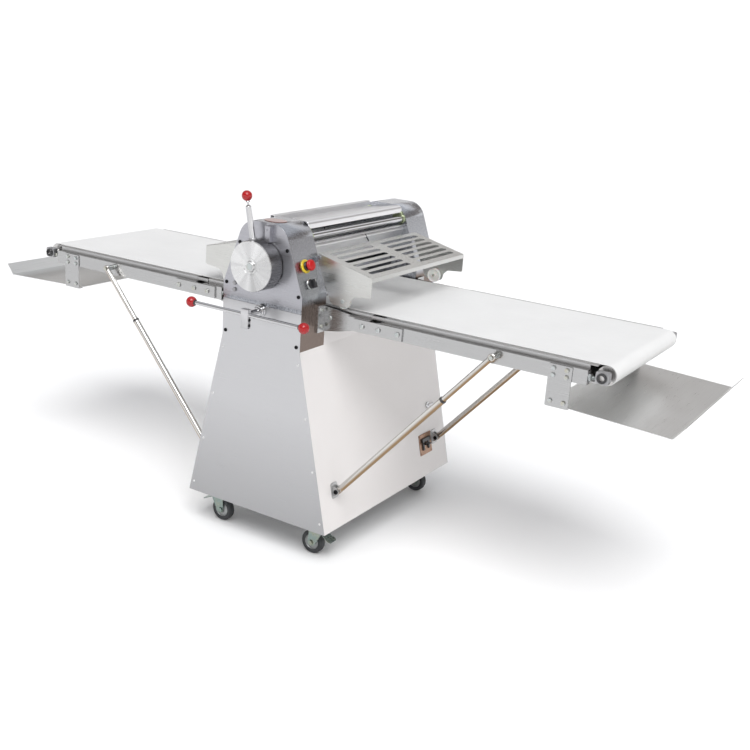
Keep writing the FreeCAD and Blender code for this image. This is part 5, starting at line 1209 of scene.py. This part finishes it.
def make_motor():
    """The drive motor on the floor of the stand: finned barrel, fan cowl, feet and terminal box."""
    axis_z = joint_place("motor_pulley_spin").z
    fan, back, foot_z = low("drive_motor").y, high("drive_motor").y, low("drive_motor").z
    radius, fin_depth, fin_pitch, front, nose = 0.075, 0.006, 0.0062, 0.020, 0.030
    groove, length, height = radius - fin_depth, back - nose - front, 0.004
    outline = [(0, 0), (groove, 0)]
    while height < length - fin_depth:
        outline += [(groove, height), (radius - 0.0005, height + 0.0003), (radius - 0.0005, height + 0.0024),
                    (groove, height + 0.0027)]
        height += fin_pitch
    outline += [(groove, length), (radius * 0.7, length + 0.001), (radius * 0.69, length + 0.022),
                (radius * 0.3, length + 0.022), (radius * 0.28, length + nose), (0.0092, length + nose),
                (0.0092, length - 0.02), (0, length - 0.02)]
    barrel = Piece("motor_barrel", MOTOR_PAINT)
    barrel.turned(outline, aim((0, front, axis_z), -OUT), 72)
    barrel.block((-radius, 0.060, foot_z), (radius, back - 0.060, foot_z + 0.008), 0.001)
    barrel.block((-0.045, 0.070, foot_z + 0.008), (0.045, back - 0.070, axis_z - 0.05), 0.001)
    barrel.block((radius - 0.012, 0.090, axis_z - 0.030), (radius + 0.028, 0.170, axis_z + 0.030), 0.002)
    barrel.done("drive_motor", slot="motor_paint")
    cowl = Piece("motor_fan_cowl", BLACK_PLASTIC)
    cowl.turned([(0.016, 0.0005), (0.020, 0), (0.060, 0), (0.068, 0.003), (0.071, 0.008), (0.071, 0.040),
                 (0.0695, 0.040), (0.0695, 0.008), (0.060, 0.003), (0.016, 0.003)],
                aim((0, fan, axis_z), -OUT), 72, closed=True)
    bars = 12
    for k in range(bars):
        place = Matrix.Translation((0, 0, axis_z)) @ Matrix.Rotation(math.tau * k / bars, 4, "Y")
        cowl.block((-0.001, fan + 0.0002, 0.017), (0.001, fan + 0.002, 0.062), 0.0004, place)
    cowl.done(slot="black_plastic")


# ---------------------------------------------------------------- studio
VIEW_PLACE = Vector((1.8276, -2.7260, 1.5021))
VIEW_AZIMUTH, VIEW_ELEVATION, VIEW_ROLL = math.radians(31.315), math.radians(17.481), math.radians(4.022)


SENSOR, LENS = 36, 50.483
# Shades of the surroundings by height: 0 at the horizon and under it, 1 straight up.
SKY = ((0.0, (1.0, 1.0, 1.0)), (0.17, (0.95, 0.95, 0.95)), (0.23, (0.18, 0.155, 0.14)),
       (0.52, (0.24, 0.23, 0.23)), (0.64, (0.52, 0.53, 0.55)), (1.0, (0.55, 0.56, 0.58)))
SKY_STRENGTH = 1.27


def make_camera():
    """The photograph's viewpoint."""
    lens = bpy.data.cameras.new("view")
    lens.sensor_width, lens.lens = SENSOR, LENS
    lens.dof.use_dof = False
    level = math.cos(VIEW_ELEVATION)
    back = Vector((math.sin(VIEW_AZIMUTH) * level, -math.cos(VIEW_AZIMUTH) * level, math.sin(VIEW_ELEVATION)))
    turned = back.to_track_quat("Z", "Y").to_matrix().to_4x4() @ Matrix.Rotation(VIEW_ROLL, 4, "Z")
    turned.translation = VIEW_PLACE
    camera = placed("view", lens)
    camera.matrix_world = turned
    bpy.context.scene.camera = camera


def make_world():
    """Surroundings bright at the horizon and grey overhead, with a dark band between for metals to mirror."""
    world = bpy.data.worlds.new("studio")
    world.use_nodes = True
    bpy.context.scene.world = world
    tree = world.node_tree
    sky = tree.nodes["Background"]
    place = tree.nodes.new("ShaderNodeTexCoord")
    split = tree.nodes.new("ShaderNodeSeparateXYZ")
    ramp = tree.nodes.new("ShaderNodeValToRGB")
    tree.links.new(place.outputs["Generated"], split.inputs["Vector"])
    tree.links.new(split.outputs["Z"], ramp.inputs["Fac"])
    stops = ramp.color_ramp.elements
    for height, shade in SKY[1:-1]:
        stops.new(height)
    for stop, (height, shade) in zip(stops, SKY):
        stop.position, stop.color = height, (*shade, 1)
    tree.links.new(ramp.outputs["Color"], sky.inputs["Color"])
    sky.inputs["Strength"].default_value = SKY_STRENGTH
    bpy.context.scene.view_settings.view_transform = "Standard"


def make_floor():
    """Pale paper that reaches the horizon."""
    mesh = bpy.data.meshes.new("studio_floor")
    reach = 90
    mesh.from_pydata([(x, y, 0) for x, y in rectangle(-reach, -reach, reach, reach)], [], [(0, 1, 2, 3)])
    paper = Finish("studio_paper", (0.95, 0.95, 0.95), 0.0, 0.9)
    paper.vary_colour(paper.noise(1.5), 0.995, 1.005)
    mesh.materials.append(paper.material)
    placed("studio_floor", mesh)


def soft_light(name, place, target, size, power):
    lamp = bpy.data.lights.new(name, "AREA")
    lamp.shape = "RECTANGLE"
    lamp.size, lamp.size_y = size
    lamp.energy = power
    placed(name, lamp).matrix_world = aim(place, Vector(place) - Vector(target))


def make_lights():
    """A broad key like a large soft box, and two faint fills."""
    lamp = bpy.data.lights.new("key", "SUN")
    lamp.energy, lamp.angle = 2.2, math.radians(38)
    placed("key", lamp).matrix_world = aim((0, 0, 4), (0.55, -0.75, 1.35))
    soft_light("fill", (3.8, -0.6, 2.6), (0.2, 0, 0.6), (2.4, 2.4), 8)
    soft_light("back", (-0.5, 3.2, 3.0), (0, 0, 0.8), (3.0, 1.4), 8)


# ---------------------------------------------------------------- carried-over CAD nodes
def dress(node, finish, edge):
    """Give a CAD node its finish, and ease its edges."""
    solid = frame["nodes"][node]
    for slot in solid.material_slots:
        slot.material = finish
    weld = solid.modifiers.new("weld", "WELD")
    weld.merge_threshold = 0.00001
    bevel = solid.modifiers.new("eased_edges", "BEVEL")
    bevel.limit_method, bevel.angle_limit = "ANGLE", math.radians(40)
    bevel.width, bevel.segments = edge, 2
    bevel.harden_normals = True
    bevel.use_clamp_overlap = True


FINISHES = {
    "base_frame": (FRAME_PAINT, 0.0008),
    "front_panel": (FRONT_STEEL, 0.0006),
    "rear_panel": (FRONT_STEEL, 0.0006),
    "front_plate": (PLATE_STEEL, 0.0006),
    "right_panel": (WHITE_PAINT, 0.0008),
    "left_panel": (WHITE_PAINT, 0.0008),
    "front_housing": (HOUSING_STEEL, 0.0012),
    "rear_housing": (HOUSING_STEEL, 0.0012),
    "table_brackets": (RAIL_STEEL, 0.0006),
    "roller_carriage": (CAST_GREY, 0.0008),
    "lower_roller": (CHROME, 0.0008),
    "upper_roller": (CHROME, 0.0008),
    "vee_belt": (BLACK_RUBBER, 0.0008),
    "motor_pulley": (CAST_GREY, 0.0005),
}
for side in SIDES:
    FINISHES[f"table_frame_{side}"] = (RAIL_STEEL, 0.0006)
    FINISHES[f"bed_{side}"] = (BED_STEEL, 0.0005)
    FINISHES[f"drive_roller_{side}"] = (GROUND_STEEL, 0.0008)
    FINISHES[f"end_roller_{side}"] = (GROUND_STEEL, 0.0008)

for make in (make_camera, make_world, make_floor, make_lights):
    make()
for cad_node, (finish, edge) in FINISHES.items():
    dress(cad_node, finish, edge)
for make in (make_belts, make_fold_fillers, make_end_fittings, make_trays, make_link_screws, make_struts,
             make_strut_lugs, make_guards, make_hood, make_badge, make_scrapers, make_dial, make_gap_lever,
             make_gap_stop, make_reversing_lever, make_stop_button, make_selector, make_cam_lock,
             make_breaker, make_fasteners, make_casters, make_motor):
    make()
